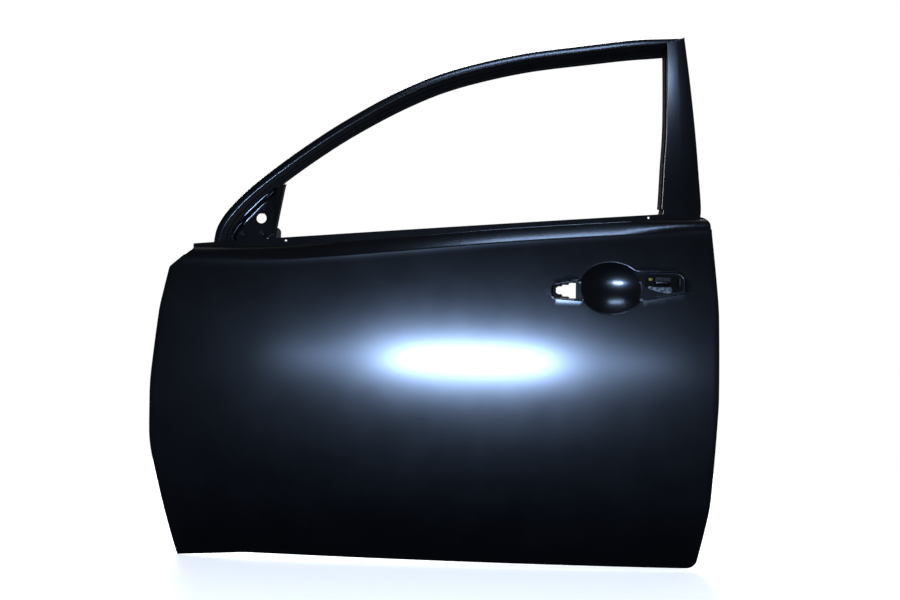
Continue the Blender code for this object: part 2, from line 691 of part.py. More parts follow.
# Window frame: both sashes share one closed section, so that their ends meet in a mitre.
# Each point: share of the face, share of the channel, an offset, depth behind the frame surface
SASH_SECTION = (
    (0.0, 0.0, 0.0, 0.0024), (0.0, 0.0, 0.0018, 0.0006), (0.5, 0.0, 0.0, 0.0),
    (1.0, 0.0, -0.0012, 0.0005), (1.0, 0.0, 0.0, 0.0017), (1.0, 0.0, 0.0, LIP_DEPTH),
    (1.0, 0.0, -LIP_HANG, LIP_DEPTH + 0.0006), (1.0, 0.0, -LIP_HANG, 0.019), (1.0, 0.30, 0.0, 0.0205),
    (1.0, 0.36, 0.0, 0.0240), (1.0, 0.66, 0.0, 0.0245), (1.0, 0.72, 0.0, CHANNEL_DEPTH - 0.0005),
    (1.0, 1.0, 0.0, CHANNEL_DEPTH), (1.0, 1.0, 0.0, CHANNEL_DEPTH + 0.003),
    (1.0, 0.3, 0.0, SASH_DEPTH), (0.0, 0.0, 0.007, SASH_DEPTH), (0.0, 0.0, 0.006, 0.0175),
    (0.0, 0.0, 0.0, 0.0160),
)


def sash_point(x, z, depth):
    """A point of the section in place. Below the belt its inner wall is spread out to its seat."""
    y = frame_depth(x, z) + depth
    if depth > CHANNEL_DEPTH + 0.001:
        seat = CAVITY_FACE - FIT - max(z - 0.700, 0.0) * 0.12
        y = max(y, seat - (SASH_DEPTH - depth))
    return (x, y, z)


def resample(points, per_span):
    """Points on a smooth line through the given ones, a number of steps to each span."""
    samples = []
    for i in range(len(points) - 1):
        a = points[max(i - 1, 0)]
        b, c = points[i], points[i + 1]
        d = points[min(i + 2, len(points) - 1)]
        for k in range(per_span):
            t = k / per_span
            samples.append(tuple(
                0.5 * (2 * q + (r - p) * t + (2 * p - 5 * q + 4 * r - s) * t * t
                       + (3 * q - p - 3 * r + s) * t ** 3)
                for p, q, r, s in zip(a, b, c, d)))
    samples.append(tuple(points[-1]))
    return samples


def wall_loops(face, channel):
    """The section's outer and inner faces, as loops of reach from the edge and depth."""
    outer = [(a * face + b * channel + offset, depth) for a, b, offset, depth in SASH_SECTION]
    inner = []
    for p, q, r in zip(outer[-1:] + outer[:-1], outer, outer[1:] + outer[:1]):
        d = (Vector(q) - Vector(p)).normalized()
        e = (Vector(r) - Vector(q)).normalized()
        m, n = Vector((-d.y, d.x)), Vector((-e.y, e.x))
        inner.append(tuple(Vector(q) + (m + n) * SASH_SHEET / (1 + m.dot(n))))
    return outer, inner


def sash_rings(stations):
    """Both faces of the section at each station (x, z, face, channel), square to the edge's line."""
    rings = []
    for i, (x, z, face, channel) in enumerate(stations):
        before = stations[max(i - 1, 0)]
        after = stations[min(i + 1, len(stations) - 1)]
        d = (Vector(after[:2]) - Vector(before[:2])).normalized()
        rings.append([[sash_point(x + d.y * reach, z - d.x * reach, depth) for reach, depth in loop]
                      for loop in wall_loops(face, channel)])
    return rings


def mitre_rings(short):
    """Both faces of the section where the sashes meet, or short of it along the header."""
    corner_x, corner_z = PILLAR_EDGE[0]
    upright = wall_loops(PILLAR_FACE[0], PILLAR_CHANNEL)
    lying = wall_loops(HEADER_FACE, HEADER_CHANNEL[-1])
    rings = []
    for across, down in zip(upright, lying):
        rings.append([sash_point(corner_x - a[0] - short, corner_z - b[0], b[1] if short else a[1])
                      for a, b in zip(across, down)])
    return rings


def sash(name, rings):
    """A tube of the section, open at its ends."""
    bm = bmesh.new()
    loft(bm, [ring[0] for ring in rings], closed=True)
    loft(bm, [ring[1] for ring in rings], closed=True)
    loft(bm, rings[0], closed=True)
    loft(bm, rings[-1], closed=True)
    make(name, bm, primer, face=None)


header_stations = resample([(x, z, HEADER_FACE, c) for (x, z), c in zip(HEADER_EDGE, HEADER_CHANNEL)], 2)
pillar_stations = resample([(x, z, f, PILLAR_CHANNEL) for (x, z), f in zip(PILLAR_EDGE, PILLAR_FACE)], 1)


def sashes():
    whole = [pair for pair in sash_rings(header_stations[:-1]) if max(p[0] for p in pair[0]) < HEADER_CLEAR]
    sash("header_sash", whole + [mitre_rings(MITRE_GAP)])
    sash("pillar_sash", [mitre_rings(0.0)] + sash_rings(pillar_stations)[1:])


header_edge_line = [s[:2] for s in header_stations]


def header_line(reach, low=-1.0, high=1.0):
    """Line at a distance inwards from the header's outer edge, between two places along the door."""
    line = []
    for i in range(1, len(header_stations) - 1):
        x, z = header_edge_line[i]
        d = (Vector(header_edge_line[i + 1]) - Vector(header_edge_line[i - 1])).normalized()
        line.append((x + d.y * reach, z - d.x * reach))
    ends = [(end, height_on(line, end)) for end in (low, high) if line[0][0] < end < line[-1][0]]
    kept = [p for p in line if low + 0.002 < p[0] < high - 0.002]
    return ends[:1] + kept + ends[1:] if len(ends) == 2 else kept


def height_on(line, x):
    for (x0, z0), (x1, z1) in zip(line, line[1:]):
        if x0 <= x <= x1:
            return z0 + (z1 - z0) * (x - x0) / (x1 - x0)
    return line[0][1]


# Run channels: open U sections that guide the glass below the frame
def run_channel(name, path, towards, top_line=None):
    profile = ((0.0, RUN_OUTER), (0.5, RUN_OUTER), (1.0, RUN_OUTER + 0.001), (1.0, RUN_INNER - 0.001),
               (0.5, RUN_INNER), (0.0, RUN_INNER))
    rings = []
    for i, (x, z) in enumerate(path):
        ring = []
        for reach, depth in profile:
            px = x + towards * reach * RUN_DEPTH
            pz = z
            if top_line and i == 0:
                pz = height_on(top_line, px) - 0.004
            ring.append((px, frame_depth(px, pz) + depth, pz))
        rings.append(ring)
    bm = bmesh.new()
    loft(bm, rings)
    make(name, bm, primer, CHANNEL_SHEET, face=(towards, 0.0, 0.0))


def run_bracket(name, path, towards, low, high, foot):
    """Angle that ties a run channel's foot to the inner wall."""
    stations = [(x, z) for x, z in path if low < z < high]
    bm = bmesh.new()
    rings = []
    for x, z in stations:
        near = x + towards * RUN_DEPTH * 0.25
        back = x + towards * (RUN_DEPTH + 0.001)
        wall = back + towards * 0.004
        seat = RUN_INNER + FIT + PLATE_SHEET * 1.05
        face = CAVITY_FACE - FIT
        rings.append([(near, frame_depth(near, z) + seat, z), (back, frame_depth(back, z) + seat, z),
                      (wall, frame_depth(wall, z) + seat + 0.004, z), (wall, face - 0.004, z),
                      (wall + towards * 0.004, face, z), (wall + towards * (0.004 + foot), face, z)])
    loft(bm, rings)
    make(name, bm, primer, PLATE_SHEET, face=(0.0, 1.0, 0.0))


# Sail plate, its doubler and the small cover at the front end of the belt opening
def sail_depth(x, z):
    reach = distance_to((x, z), header_edge_line, False) - HEADER_FACE - HEADER_CHANNEL[0]
    lift = min(max(1 - (reach - SAIL_LIP) / (SAIL_JOGGLE - SAIL_LIP), 0.0), 1.0)
    back = CHANNEL_DEPTH - 0.0005 - SAIL_SHEET * 1.3 - FIT - SAIL_DEPTH
    depth = frame_depth(x, z) + SAIL_DEPTH + back * lift
    foot = min(max((SAIL_FOOT - z) / SAIL_FOOT_RISE, 0.0), 1.0)
    seat = CAVITY_FACE - FIT - SAIL_SHEET * 1.05
    return depth + (seat - depth) * foot


def mirror_mounting():
    screws = [circle(place, SCREW_HOLE, 8) for place in MIRROR_SCREWS]
    base, rear = SAIL_HEEL
    bend, toe = SAIL_FOOT, SAIL_FOOT - SAIL_FOOT_RISE
    start = HEADER_FACE + HEADER_CHANNEL[0]
    edge, joggle, flat = (header_line(start + reach, SAIL_FRONT, SAIL_BACK)
                          for reach in (-SAIL_OVERLAP, SAIL_LIP, SAIL_JOGGLE))
    outline = [(SAIL_FRONT, base), (rear, base), (rear, toe), (rear, bend), SAIL_CORNER,
               (SAIL_BACK, SAIL_CORNER[1] + 0.014), flat[-1], joggle[-1]]
    outline += list(reversed(edge)) + [joggle[0], flat[0], (SAIL_FRONT, bend), (SAIL_FRONT, toe)]
    folds = [[(SAIL_FRONT, toe), (rear, toe)], [(SAIL_FRONT, bend), (rear, bend)], joggle, flat]
    bm = bmesh.new()
    blank(bm, outline, [circle(MIRROR_HOLE, MIRROR_HOLE_RADIUS, 16)] + screws, folds, grid=0.025,
          depth=sail_depth)
    make("mirror_bracket", bm, primer, SAIL_SHEET)
    bm = bmesh.new()
    left, right, bottom = DOUBLER
    top = header_line(HEADER_FACE + HEADER_CHANNEL[0] + SAIL_JOGGLE + 0.002, left, right)
    outline = divided([(left, bottom), (right, bottom)] + list(reversed(top)), 0.02)
    blank(bm, outline, [circle(MIRROR_HOLE, MIRROR_HOLE_RADIUS + 0.003, 16)] + screws, grid=0.025,
          depth=lambda x, z: frame_depth(x, z) + SAIL_DEPTH + SAIL_SHEET * 1.04 + 1.6 * FIT)
    make("mirror_reinforcement", bm, primer, PLATE_SHEET)
    bm = bmesh.new()
    blank(bm, rounded(PAD_OUTLINE), grid=0.05, depth=lambda x, z: frame_depth(x, z) + RUN_INNER + FIT)
    make("belt_end_pad", bm, finish_colour("tan_foam", (0.035, 0.030, 0.015), 0.8, 0.0), PAD_THICKNESS)


# Belt reinforcements
def belt_reinforcements():
    places = [BELT_PIECE_FRONT + (BELT_PIECE_REAR - BELT_PIECE_FRONT) * i / 12 for i in range(13)]
    bm = bmesh.new()
    rings = []
    for x in places:
        top, fold = belt_top(x) - 0.001, belt_fold(x)
        face = SKIN_SHEET * 1.03 + FIT
        upper, lower = skin_depth(x, top) + face, skin_depth(x, fold + 0.0005) + face
        rings.append([(x, upper, top), (x, lower, fold), (x, lower + 0.009, fold - 0.006),
                      (x, lower + 0.009, fold - 0.030), (x, lower - 0.002, fold - 0.040)])
    loft(bm, rings)
    piece = make("belt_reinforcement_outer", bm, primer, PLATE_SHEET, cut_by=belt_cutters)
    bm = bmesh.new()
    rings = []
    for x in places:
        top = belt_top(x) - TOP_DROP - 0.002
        face = CAVITY_FACE - FIT
        rings.append([(x, face, top), (x, face, top - 0.008), (x, face - 0.014, top - 0.016),
                      (x, face - 0.014, top - 0.034), (x, face, top - 0.042), (x, face, top - 0.050)])
    loft(bm, rings)
    make("belt_reinforcement_inner", bm, primer, PLATE_SHEET, face=(0.0, 1.0, 0.0))
    return piece


belt_cutters = cutter_group("belt_cutters")
for k, place in enumerate(BELT_HOLES):
    add_cutter(belt_cutters, f"belt_hole_{k}", (place[0], skin_depth(*place), place[1]), BELT_HOLE, axis="Y")


# Impact beam, a drawn tube in two saddles
def beam_centre(x):
    share = (x - BEAM_FRONT[0]) / (BEAM_REAR[0] - BEAM_FRONT[0])
    return tuple(a + (b - a) * share for a, b in zip(BEAM_FRONT, BEAM_REAR))


def impact_beam():
    start, end = Vector(BEAM_FRONT), Vector(BEAM_REAR)
    length = (end - start).length
    bore = BEAM_RADIUS - BEAM_WALL
    mesh = bpy.data.meshes.new("impact_beam")
    profile = [(BEAM_RADIUS, 0.0, length), (BEAM_RADIUS, 0.0, 0.0), (bore, 0.0, 0.0), (bore, 0.0, length)]
    mesh.from_pydata(profile, [(0, 1), (1, 2), (2, 3), (3, 0)], [])
    mesh.materials.append(primer)
    beam = bpy.data.objects.new("impact_beam", mesh)
    door.objects.link(beam)
    beam.parent = datum
    beam.location = start
    beam.rotation_euler = (end - start).to_track_quat("Z", "Y").to_euler()
    turn = beam.modifiers.new("turn", "SCREW")
    turn.axis = "Z"
    turn.steps = 20
    turn.render_steps = 20
    turn.use_merge_vertices = True
    turn.merge_threshold = WELD


def rear_wall(z):
    """Outer face of the rear shut wall at a height."""
    side = sorted((corner[1], corner[0]) for corner in WALL[9:13])
    return height_on(side, z)


def beam_bracket(name, wall_face, towards):
    """Plate that stands on a shut wall and lies along the beam in a half-round saddle."""
    columns = 14
    flange = 0.016
    inside_wall = INNER_SHEET + FIT
    bm = bmesh.new()
    rows = []
    end_x = (BEAM_FRONT if towards > 0 else BEAM_REAR)[0]
    centre_z = beam_centre(end_x)[2]
    reach = BEAM_RADIUS + SADDLE_FIT
    for k in range(columns + 1):
        z = centre_z - SADDLE_HALF + 2 * SADDLE_HALF * k / columns
        wall = wall_face(z) + towards * inside_wall
        row = []
        first = beam_centre(wall)
        back = first[1] + 0.004
        row.append((wall, back + flange + 0.010, z))
        row.append((wall, back + 0.004, z))
        for step in (0.0, 0.5, 1.0):
            x = wall + towards * (0.004 + (SADDLE_LENGTH - 0.004) * step)
            centre = beam_centre(x)
            across = z - centre[2]
            hollow = math.sqrt(max(reach ** 2 - across ** 2, 0.0))
            row.append((x, centre[1] + max(hollow, 0.004), z))
        rows.append(row)
    loft(bm, rows)
    make(name, bm, primer, PLATE_SHEET, face=(0.0, -1.0, 0.0))


# Plates and nuts on the shut walls
def wall_plate(name, wall, towards, centre, half, thickness, cut_by):
    """Flat plate inside a shut wall, with the wall's own holes."""
    inner = wall + towards * (INNER_SHEET + FIT)
    bm = bmesh.new()
    corners = [(centre[0] + sy * half[0], centre[1] + sz * half[1]) for sy, sz in ((-1, -1), (1, -1), (1, 1), (-1, 1))]
    face = bm.faces.new([bm.verts.new((inner, y, z)) for y, z in corners])
    grown = bmesh.ops.extrude_face_region(bm, geom=[face])
    moved = [v for v in grown["geom"] if isinstance(v, bmesh.types.BMVert)]
    bmesh.ops.translate(bm, verts=moved, vec=(towards * thickness, 0.0, 0.0))
    bmesh.ops.recalc_face_normals(bm, faces=bm.faces)
    standing = [e for e in bm.edges if abs((e.verts[0].co - e.verts[1].co).x) > thickness / 2]
    bmesh.ops.bevel(bm, geom=standing, offset=min(half) * 0.3, segments=2, profile=0.5, affect="EDGES")
    return make(name, bm, primer, face=None, cut_by=cut_by)


def weld_nut(name, seat, normal, flats, bore, height):
    """Hexagon nut with its bore, welded flat on its seat."""
    bm = bmesh.new()
    outer, inner = [], []
    for i in range(12):
        angle = math.tau * i / 12
        reach = flats / 2 / math.cos(math.radians(30)) if i % 2 else flats / 2
        outer.append((reach * math.cos(angle), reach * math.sin(angle)))
        inner.append((bore * math.cos(angle), bore * math.sin(angle)))
    rings = [[(x, y, z) for x, y in loop] for loop, z in
             ((outer, 0.0), (outer, height), (inner, height), (inner, 0.0), (outer, 0.0))]
    loft(bm, rings, closed=True)
    nut = make(name, bm, finish_colour(name + "_zinc", (0.30, 0.29, 0.26), 0.45, 1.0), face=None)
    nut.location = seat
    nut.rotation_euler = Vector(normal).to_track_quat("Z", "Y").to_euler()


def hinge_and_latch_plates():
    for name, height in (("upper", UPPER_HINGE), ("lower", LOWER_HINGE)):
        wall_plate(f"hinge_reinforcement_{name}", HINGE_WALL, 1, (HINGE_SEAT, height), HINGE_HALF, HINGE_PLATE,
                   wall_cutters)
        for k, side in enumerate((-1, 1)):
            seat = (HINGE_WALL + INNER_SHEET + HINGE_PLATE + 2 * FIT, HINGE_SEAT,
                    height + side * HINGE_BOLT_SPACING / 2)
            weld_nut(f"hinge_nut_{name}_{k + 1}", seat, (1.0, 0.0, 0.0), NUT_FLATS, NUT_BORE, NUT_HEIGHT)
    check_half = (CHECK_SLOT[0] / 2 + 0.011, CHECK_SLOT[1] / 2 + 0.012)
    wall_plate("check_reinforcement", HINGE_WALL, 1, (HINGE_SEAT, CHECK_HEIGHT), check_half, PLATE_SHEET,
               wall_cutters)
    latch_half = (LATCH_PLATE[0] / 2, LATCH_PLATE[1] / 2)
    wall_plate("latch_reinforcement", LATCH_WALL, -1, LATCH_SEAT, latch_half, PLATE_SHEET, latch_cutters)
    for k, (x, z) in enumerate(MIRROR_SCREWS):
        seat = frame_depth(x, z) + SAIL_DEPTH + (SAIL_SHEET + PLATE_SHEET) * 1.04 + 3 * FIT
        lean = (frame_depth(x, z + 0.01) - frame_depth(x, z - 0.01)) / 0.02
        swing = (frame_depth(x + 0.01, z) - frame_depth(x - 0.01, z)) / 0.02
        weld_nut(f"mirror_nut_{k + 1}", (x, seat, z), (-swing, 1.0, -lean), MIRROR_NUT_FLATS,
                 MIRROR_NUT_BORE, MIRROR_NUT_HEIGHT)


# Reinforcement behind the handle, and the stiffener behind the middle of the skin
def handle_plates():
    seat = POCKET_DEPTH + SKIN_SHEET * 1.03 + FIT
    outline = rounded(((0.203, 0.528, 0.030, 3), (0.512, 0.528, 0.030, 3), (0.512, 0.668, 0.030, 3),
                       (0.203, 0.668, 0.030, 3)))
    ring = circle(DISH_CENTRE, None, 28, [h + 0.006 for h in DISH_HALF])
    bm = bmesh.new()
    blank(bm, outline, [ring, list(STEPPED_OPENING), rounded(REAR_WINDOW)], grid=0.04,
          depth=lambda x, z: skin_depth(x, z) + seat)
    make("handle_reinforcement", bm, primer, PLATE_SHEET)
    bm = bmesh.new()
    rest = seat + PLATE_SHEET * 1.03 + FIT
    rows = []
    for x in (0.438, 0.470):
        rows.append([(x, skin_depth(x, z) + rest + out, z)
                     for z, out in ((0.648, 0.0), (0.636, 0.0), (0.629, 0.010), (0.614, 0.012), (0.6085, 0.018))])
    loft(bm, rows)
    make("lock_bracket", bm, finish_colour("zinc_plate", (0.22, 0.22, 0.21), 0.4, 1.0), PLATE_SHEET)
    height = STIFFENER[2]
    bm = bmesh.new()
    rows = []
    for x in stiffener_stations():
        row = []
        for share, rise in ((-1.0, 0.0), (-0.6, 0.0), (-0.35, 1.0), (0.35, 1.0), (0.6, 0.0), (1.0, 0.0)):
            z = height + share * STIFFENER_HALF
            row.append((x, skin_depth(x, z) + SKIN_SHEET * 1.02 + FIT + rise * STIFFENER_RISE, z))
        rows.append(row)
    loft(bm, rows)
    make("panel_stiffener", bm, primer, PLATE_SHEET * 0.6)


outer_panel()
inner_panel()
sashes()
front_run = resample(FRONT_RUN, 4)
rear_run = resample(REAR_RUN, 4)
run_channel("front_run_channel", front_run, -1, header_line(HEADER_FACE + HEADER_CHANNEL[0]))
run_channel("rear_run_channel", rear_run, 1)
run_bracket("front_run_bracket", front_run, -1, 0.430, 0.485, 0.022)
run_bracket("rear_run_bracket", rear_run, 1, 0.340, 0.410, 0.022)
mirror_mounting()
belt_reinforcements()
impact_beam()
beam_bracket("beam_bracket_front", lambda z: HINGE_WALL, 1)
beam_bracket("beam_bracket_rear", rear_wall, -1)
hinge_and_latch_plates()
handle_plates()
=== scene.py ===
"""A bare left front door shell in black dip primer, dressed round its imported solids.

Metres. X runs from the hinge edge to the latch edge, Y from the outside into the cabin, Z up.
Pieces are shaped in door coordinates (x = 0 mid-door, z = 0 at the lower edge, y = 0 at the
outermost point of the skin) and then hung from the upper hinge seat."""

import math

import bmesh
import bpy
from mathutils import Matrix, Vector
from mathutils.geometry import delaunay_2d_cdt


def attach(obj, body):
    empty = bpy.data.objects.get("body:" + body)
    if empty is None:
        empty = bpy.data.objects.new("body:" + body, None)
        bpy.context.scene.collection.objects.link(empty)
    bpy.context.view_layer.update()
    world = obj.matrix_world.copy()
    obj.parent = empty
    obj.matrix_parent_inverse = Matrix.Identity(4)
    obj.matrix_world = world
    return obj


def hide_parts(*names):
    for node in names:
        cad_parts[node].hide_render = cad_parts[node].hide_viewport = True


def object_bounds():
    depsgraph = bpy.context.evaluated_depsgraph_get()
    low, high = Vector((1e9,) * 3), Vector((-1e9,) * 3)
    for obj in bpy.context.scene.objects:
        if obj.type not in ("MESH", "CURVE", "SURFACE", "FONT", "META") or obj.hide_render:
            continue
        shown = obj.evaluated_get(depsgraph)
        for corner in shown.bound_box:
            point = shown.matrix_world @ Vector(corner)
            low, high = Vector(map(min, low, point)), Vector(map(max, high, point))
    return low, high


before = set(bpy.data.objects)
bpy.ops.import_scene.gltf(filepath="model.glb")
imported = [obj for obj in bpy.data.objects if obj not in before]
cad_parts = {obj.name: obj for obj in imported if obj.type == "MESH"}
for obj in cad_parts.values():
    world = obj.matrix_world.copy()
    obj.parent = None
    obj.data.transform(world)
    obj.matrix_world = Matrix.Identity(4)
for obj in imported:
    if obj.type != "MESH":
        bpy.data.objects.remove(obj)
cad_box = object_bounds()


# Outer skin. One deep-drawn steel pressing 0.8 mm thick, crowned in both directions, with a
# crease under the belt, a rolled shoulder and an upright flange that carries the belt weatherstrip.
# Its edge is folded round the inner panel in a flat hem.
HUNG_AT = (0.596, -0.088, -0.500)
SKIN_SHEET = 0.0008
SKIN_GRID = 0.0075
PLAN_CENTRE, PLAN_RADIUS = 0.200, 8.0
BARREL_HEIGHT, BARREL_RADIUS = 0.362, 1.5
UNDER_HEIGHT, UNDER_RADIUS = 0.150, 0.9
SHOULDER_DROP, SHOULDER_RADIUS = 0.030, 0.033
BROAD_RADIUS, BROAD_SINE = 0.1550, 0.4400
BROAD_FROM, BROAD_FULL_FRONT, BROAD_FULL_REAR, BROAD_TO = -0.500, -0.200, 0.345, 0.545
CREASE_BLEND, CREASE_SOFT, CREASE_CRISP = 0.014, 0.140, 0.160
CRISP_FROM, CRISP_TO = -0.120, 0.180
FLANGE_LEAN = 0.2126
BELT_FOLD = ((-0.600, 0.6655), (-0.440, 0.669), (-0.327, 0.675), (-0.111, 0.697),
             (0.104, 0.720), (0.320, 0.739), (0.494, 0.752), (0.600, 0.757))
BELT_TOP_FRONT, BELT_TOP_REAR = (-0.562, 0.6735), (0.444, 0.7615)
DOOR_OUTLINE = (
    (*BELT_TOP_FRONT, 0.002, 4), (-0.5605, 0.6625, 0.003, 4), (-0.6070, 0.6220, 0.012, 8),
    (-0.6235, 0.5350, 0.300, 6), (-0.6380, 0.3750, 0.600, 8), (-0.6375, 0.2450, 0.300, 8),
    (-0.5820, -0.0060, 0.002, 3), (-0.4300, 0.0060, 0.300, 6), (0.5430, -0.0010, 0.022, 10),
    (0.5640, 0.1400, 0.400, 6), (0.5730, 0.3600, 0.600, 6), (0.5710, 0.5600, 0.800, 6),
    (0.5560, 0.7575, 0.020, 8), (*BELT_TOP_REAR, 0.030, 4),
)
BELT_SIDES = (12, 13)
HEM_RADIUS = 0.0017
HEM_RETURN = 0.0095


def curve_through(points):
    """A smooth height over x through the points."""
    slopes = [(points[min(i + 1, len(points) - 1)][1] - points[max(i - 1, 0)][1])
              / (points[min(i + 1, len(points) - 1)][0] - points[max(i - 1, 0)][0])
              for i in range(len(points))]

    def height(x):
        i = 0
        while i < len(points) - 2 and x > points[i + 1][0]:
            i += 1
        (x0, z0), (x1, z1) = points[i], points[i + 1]
        w = x1 - x0
        t = (x - x0) / w
        return (z0 * (1 + 2 * t) * (1 - t) ** 2 + z1 * t * t * (3 - 2 * t)
                + w * slopes[i] * t * (1 - t) ** 2 - w * slopes[i + 1] * t * t * (1 - t))

    return height


belt_fold = curve_through(BELT_FOLD)


def along(value, start, end):
    """Share of the way from start to end, held to 0 and 1."""
    return min(max((value - start) / (end - start), 0.0), 1.0)


def eased(share):
    return share * share * (3 - 2 * share)


def skin_depth(x, z):
    """Depth of the skin's outer face: crowned body, crease, shoulder roll and belt flange. The
    roll is tight at both ends of the door and broad between them."""
    fold = belt_fold(x)
    crease = fold - SHOULDER_DROP
    body = min(z, crease)
    depth = (x - PLAN_CENTRE) ** 2 / (2 * PLAN_RADIUS) + (body - BARREL_HEIGHT) ** 2 / (2 * BARREL_RADIUS)
    depth += max(UNDER_HEIGHT - body, 0.0) ** 2 / (2 * UNDER_RADIUS)
    bend = CREASE_SOFT + (CREASE_CRISP - CREASE_SOFT) * along(x, CRISP_FROM, CRISP_TO)
    depth -= bend * max(body - crease + CREASE_BLEND, 0.0) ** 2 / (2 * CREASE_BLEND)
    if z > crease:
        rise = min(z, fold) - crease
        tight = SHOULDER_RADIUS - math.sqrt(SHOULDER_RADIUS ** 2 - rise ** 2)
        broad = BROAD_RADIUS * (math.sqrt(1 - BROAD_SINE ** 2)
                                - math.sqrt(1 - (BROAD_SINE + rise / BROAD_RADIUS) ** 2))
        middle = eased(along(x, BROAD_TO, BROAD_FULL_REAR)) * along(x, BROAD_FROM, BROAD_FULL_FRONT)
        depth += tight + (broad - tight) * middle
    if z > fold:
        depth += FLANGE_LEAN * (z - fold)
    return depth


LEAST_CORNER = 0.002


def rounded(corners, insets=None, spacing=None):
    """A closed outline round the corners (x, z, radius, arc steps), counter-clockwise, moved
    inwards by the insets, with its straight sides divided at the spacing."""
    n = len(corners)
    insets = insets or [0.0] * n
    lines = []
    for i in range(n):
        a, b = Vector(corners[i][:2]), Vector(corners[(i + 1) % n][:2])
        d = (b - a).normalized()
        lines.append((a + Vector((-d.y, d.x)) * insets[i], d))
    arcs = []
    for i in range(n):
        (p, d), (q, e) = lines[i - 1], lines[i]
        cross = d.x * e.y - d.y * e.x
        turn = math.atan2(cross, d.dot(e))
        corner = p + d * (((q - p).x * e.y - (q - p).y * e.x) / cross)
        inset = (insets[i - 1] + insets[i]) / 2
        radius = max(corners[i][2] - math.copysign(inset, turn), LEAST_CORNER)
        side = Vector((-d.y, d.x)) * math.copysign(radius, turn)
        centre = corner - d * radius * math.tan(abs(turn) / 2) + side
        arcs.append([centre + Vector((-side.x * math.cos(a) + side.y * math.sin(a),
                                      -side.x * math.sin(a) - side.y * math.cos(a)))
                     for a in (turn * k / corners[i][3] for k in range(corners[i][3] + 1))])
    loop = []
    for i in range(n):
        loop.extend(arcs[i])
        start, end = arcs[i][-1], arcs[(i + 1) % n][0]
        count = max(math.ceil((Vector(corners[(i + 1) % n][:2]) - Vector(corners[i][:2])).length
                              / spacing), 1) if spacing else 1
        loop.extend(start.lerp(end, k / count) for k in range(1, count))
    return [(p.x, p.y) for p in loop]


RING_SPACING = 0.012


def door_ring(inset=0.0, spacing=RING_SPACING):
    """The door's outline, moved inwards everywhere but along the belt."""
    insets = [0.0 if side in BELT_SIDES else inset for side in range(len(DOOR_OUTLINE))]
    return rounded(DOOR_OUTLINE, insets, spacing)


def ring_place(corner, spacing=RING_SPACING):
    """Place in a door ring of the first point of a corner's arc."""
    place = 0
    for i in range(corner):
        a, b = DOOR_OUTLINE[i], DOOR_OUTLINE[i + 1]
        place += a[3] + max(math.ceil(math.dist(a[:2], b[:2]) / spacing), 1)
    return place


def circle(centre, radius, count=24):
    return [(centre[0] + radius * math.cos(math.tau * i / count),
             centre[1] + radius * math.sin(math.tau * i / count)) for i in range(count)]


def inside(point, loop):
    """Whether a point lies in a closed loop."""
    x, z = point
    hit = False
    for (x0, z0), (x1, z1) in zip(loop, loop[1:] + loop[:1]):
        if (z0 > z) != (z1 > z) and x < x0 + (z - z0) * (x1 - x0) / (z1 - z0):
            hit = not hit
    return hit


def distance_to(point, loop, closed=True):
    """Distance from a point to a loop or line, in elevation."""
    x, z = point
    best = 1e9
    for (x0, z0), (x1, z1) in zip(loop, loop[1:] + loop[:1] if closed else loop[1:]):
        ax, az = x1 - x0, z1 - z0
        t = min(max(((x - x0) * ax + (z - z0) * az) / max(ax * ax + az * az, 1e-12), 0.0), 1.0)
        best = min(best, math.hypot(x - x0 - ax * t, z - z0 - az * t))
    return best


def near_cells(paths, cell):
    """Grid cells that the paths run through or beside."""
    cells = set()
    for path, closed in paths:
        for (x0, z0), (x1, z1) in zip(path, path[1:] + path[:1] if closed else path[1:]):
            steps = max(int(math.hypot(x1 - x0, z1 - z0) / (cell * 0.45)), 1)
            for k in range(steps + 1):
                i, j = (x0 + (x1 - x0) * k / steps) / cell, (z0 + (z1 - z0) * k / steps) / cell
                cells.update((math.floor(i + di * 0.5), math.floor(j + dj * 0.5))
                             for di in (-1, 0, 1) for dj in (-1, 0, 1))
    return cells


def pressing(bm, outline, holes, lines, loops, grid, depth, extra_points=()):
    """A sheet cut to its outline and holes, with the lines and loops as folds, pressed to depth."""
    points, edges = [], []
    paths = [(p, True) for p in (outline, *holes, *loops)] + [(p, False) for p in lines]
    for path, closed in paths:
        first = len(points)
        points.extend(path)
        edges.extend((first + i, first + i + 1) for i in range(len(path) - 1))
        if closed:
            edges.append((first + len(path) - 1, first))
    busy = near_cells(paths, grid)
    low_x, high_x = min(p[0] for p in outline), max(p[0] for p in outline)
    low_z, high_z = min(p[1] for p in outline), max(p[1] for p in outline)
    for i in range(math.floor(low_x / grid), math.ceil(high_x / grid) + 1):
        for j in range(math.floor(low_z / grid), math.ceil(high_z / grid) + 1):
            if (i, j) not in busy:
                points.append(((i + 0.5) * grid, (j + 0.5) * grid))
    points.extend(extra_points)
    found, _, faces, _, _, _ = delaunay_2d_cdt([Vector(p) for p in points], edges, [], 1, 1e-7)
    verts = [bm.verts.new((p.x, depth(p.x, p.y), p.y)) for p in found]
    boxes = [(min(p[0] for p in h), max(p[0] for p in h), min(p[1] for p in h), max(p[1] for p in h), h)
             for h in holes]
    sliver = 1e-9
    for face in faces:
        a, b, c = (found[i] for i in face)
        if abs((b - a).cross(c - a)) < sliver:
            continue
        m = (a + b + c) / 3
        if any(x0 < m.x < x1 and z0 < m.y < z1 and inside((m.x, m.y), h) for x0, x1, z0, z1, h in boxes):
            continue
        bm.faces.new([verts[i] for i in face])
    bmesh.ops.delete(bm, geom=[v for v in verts if not v.link_faces], context="VERTS")


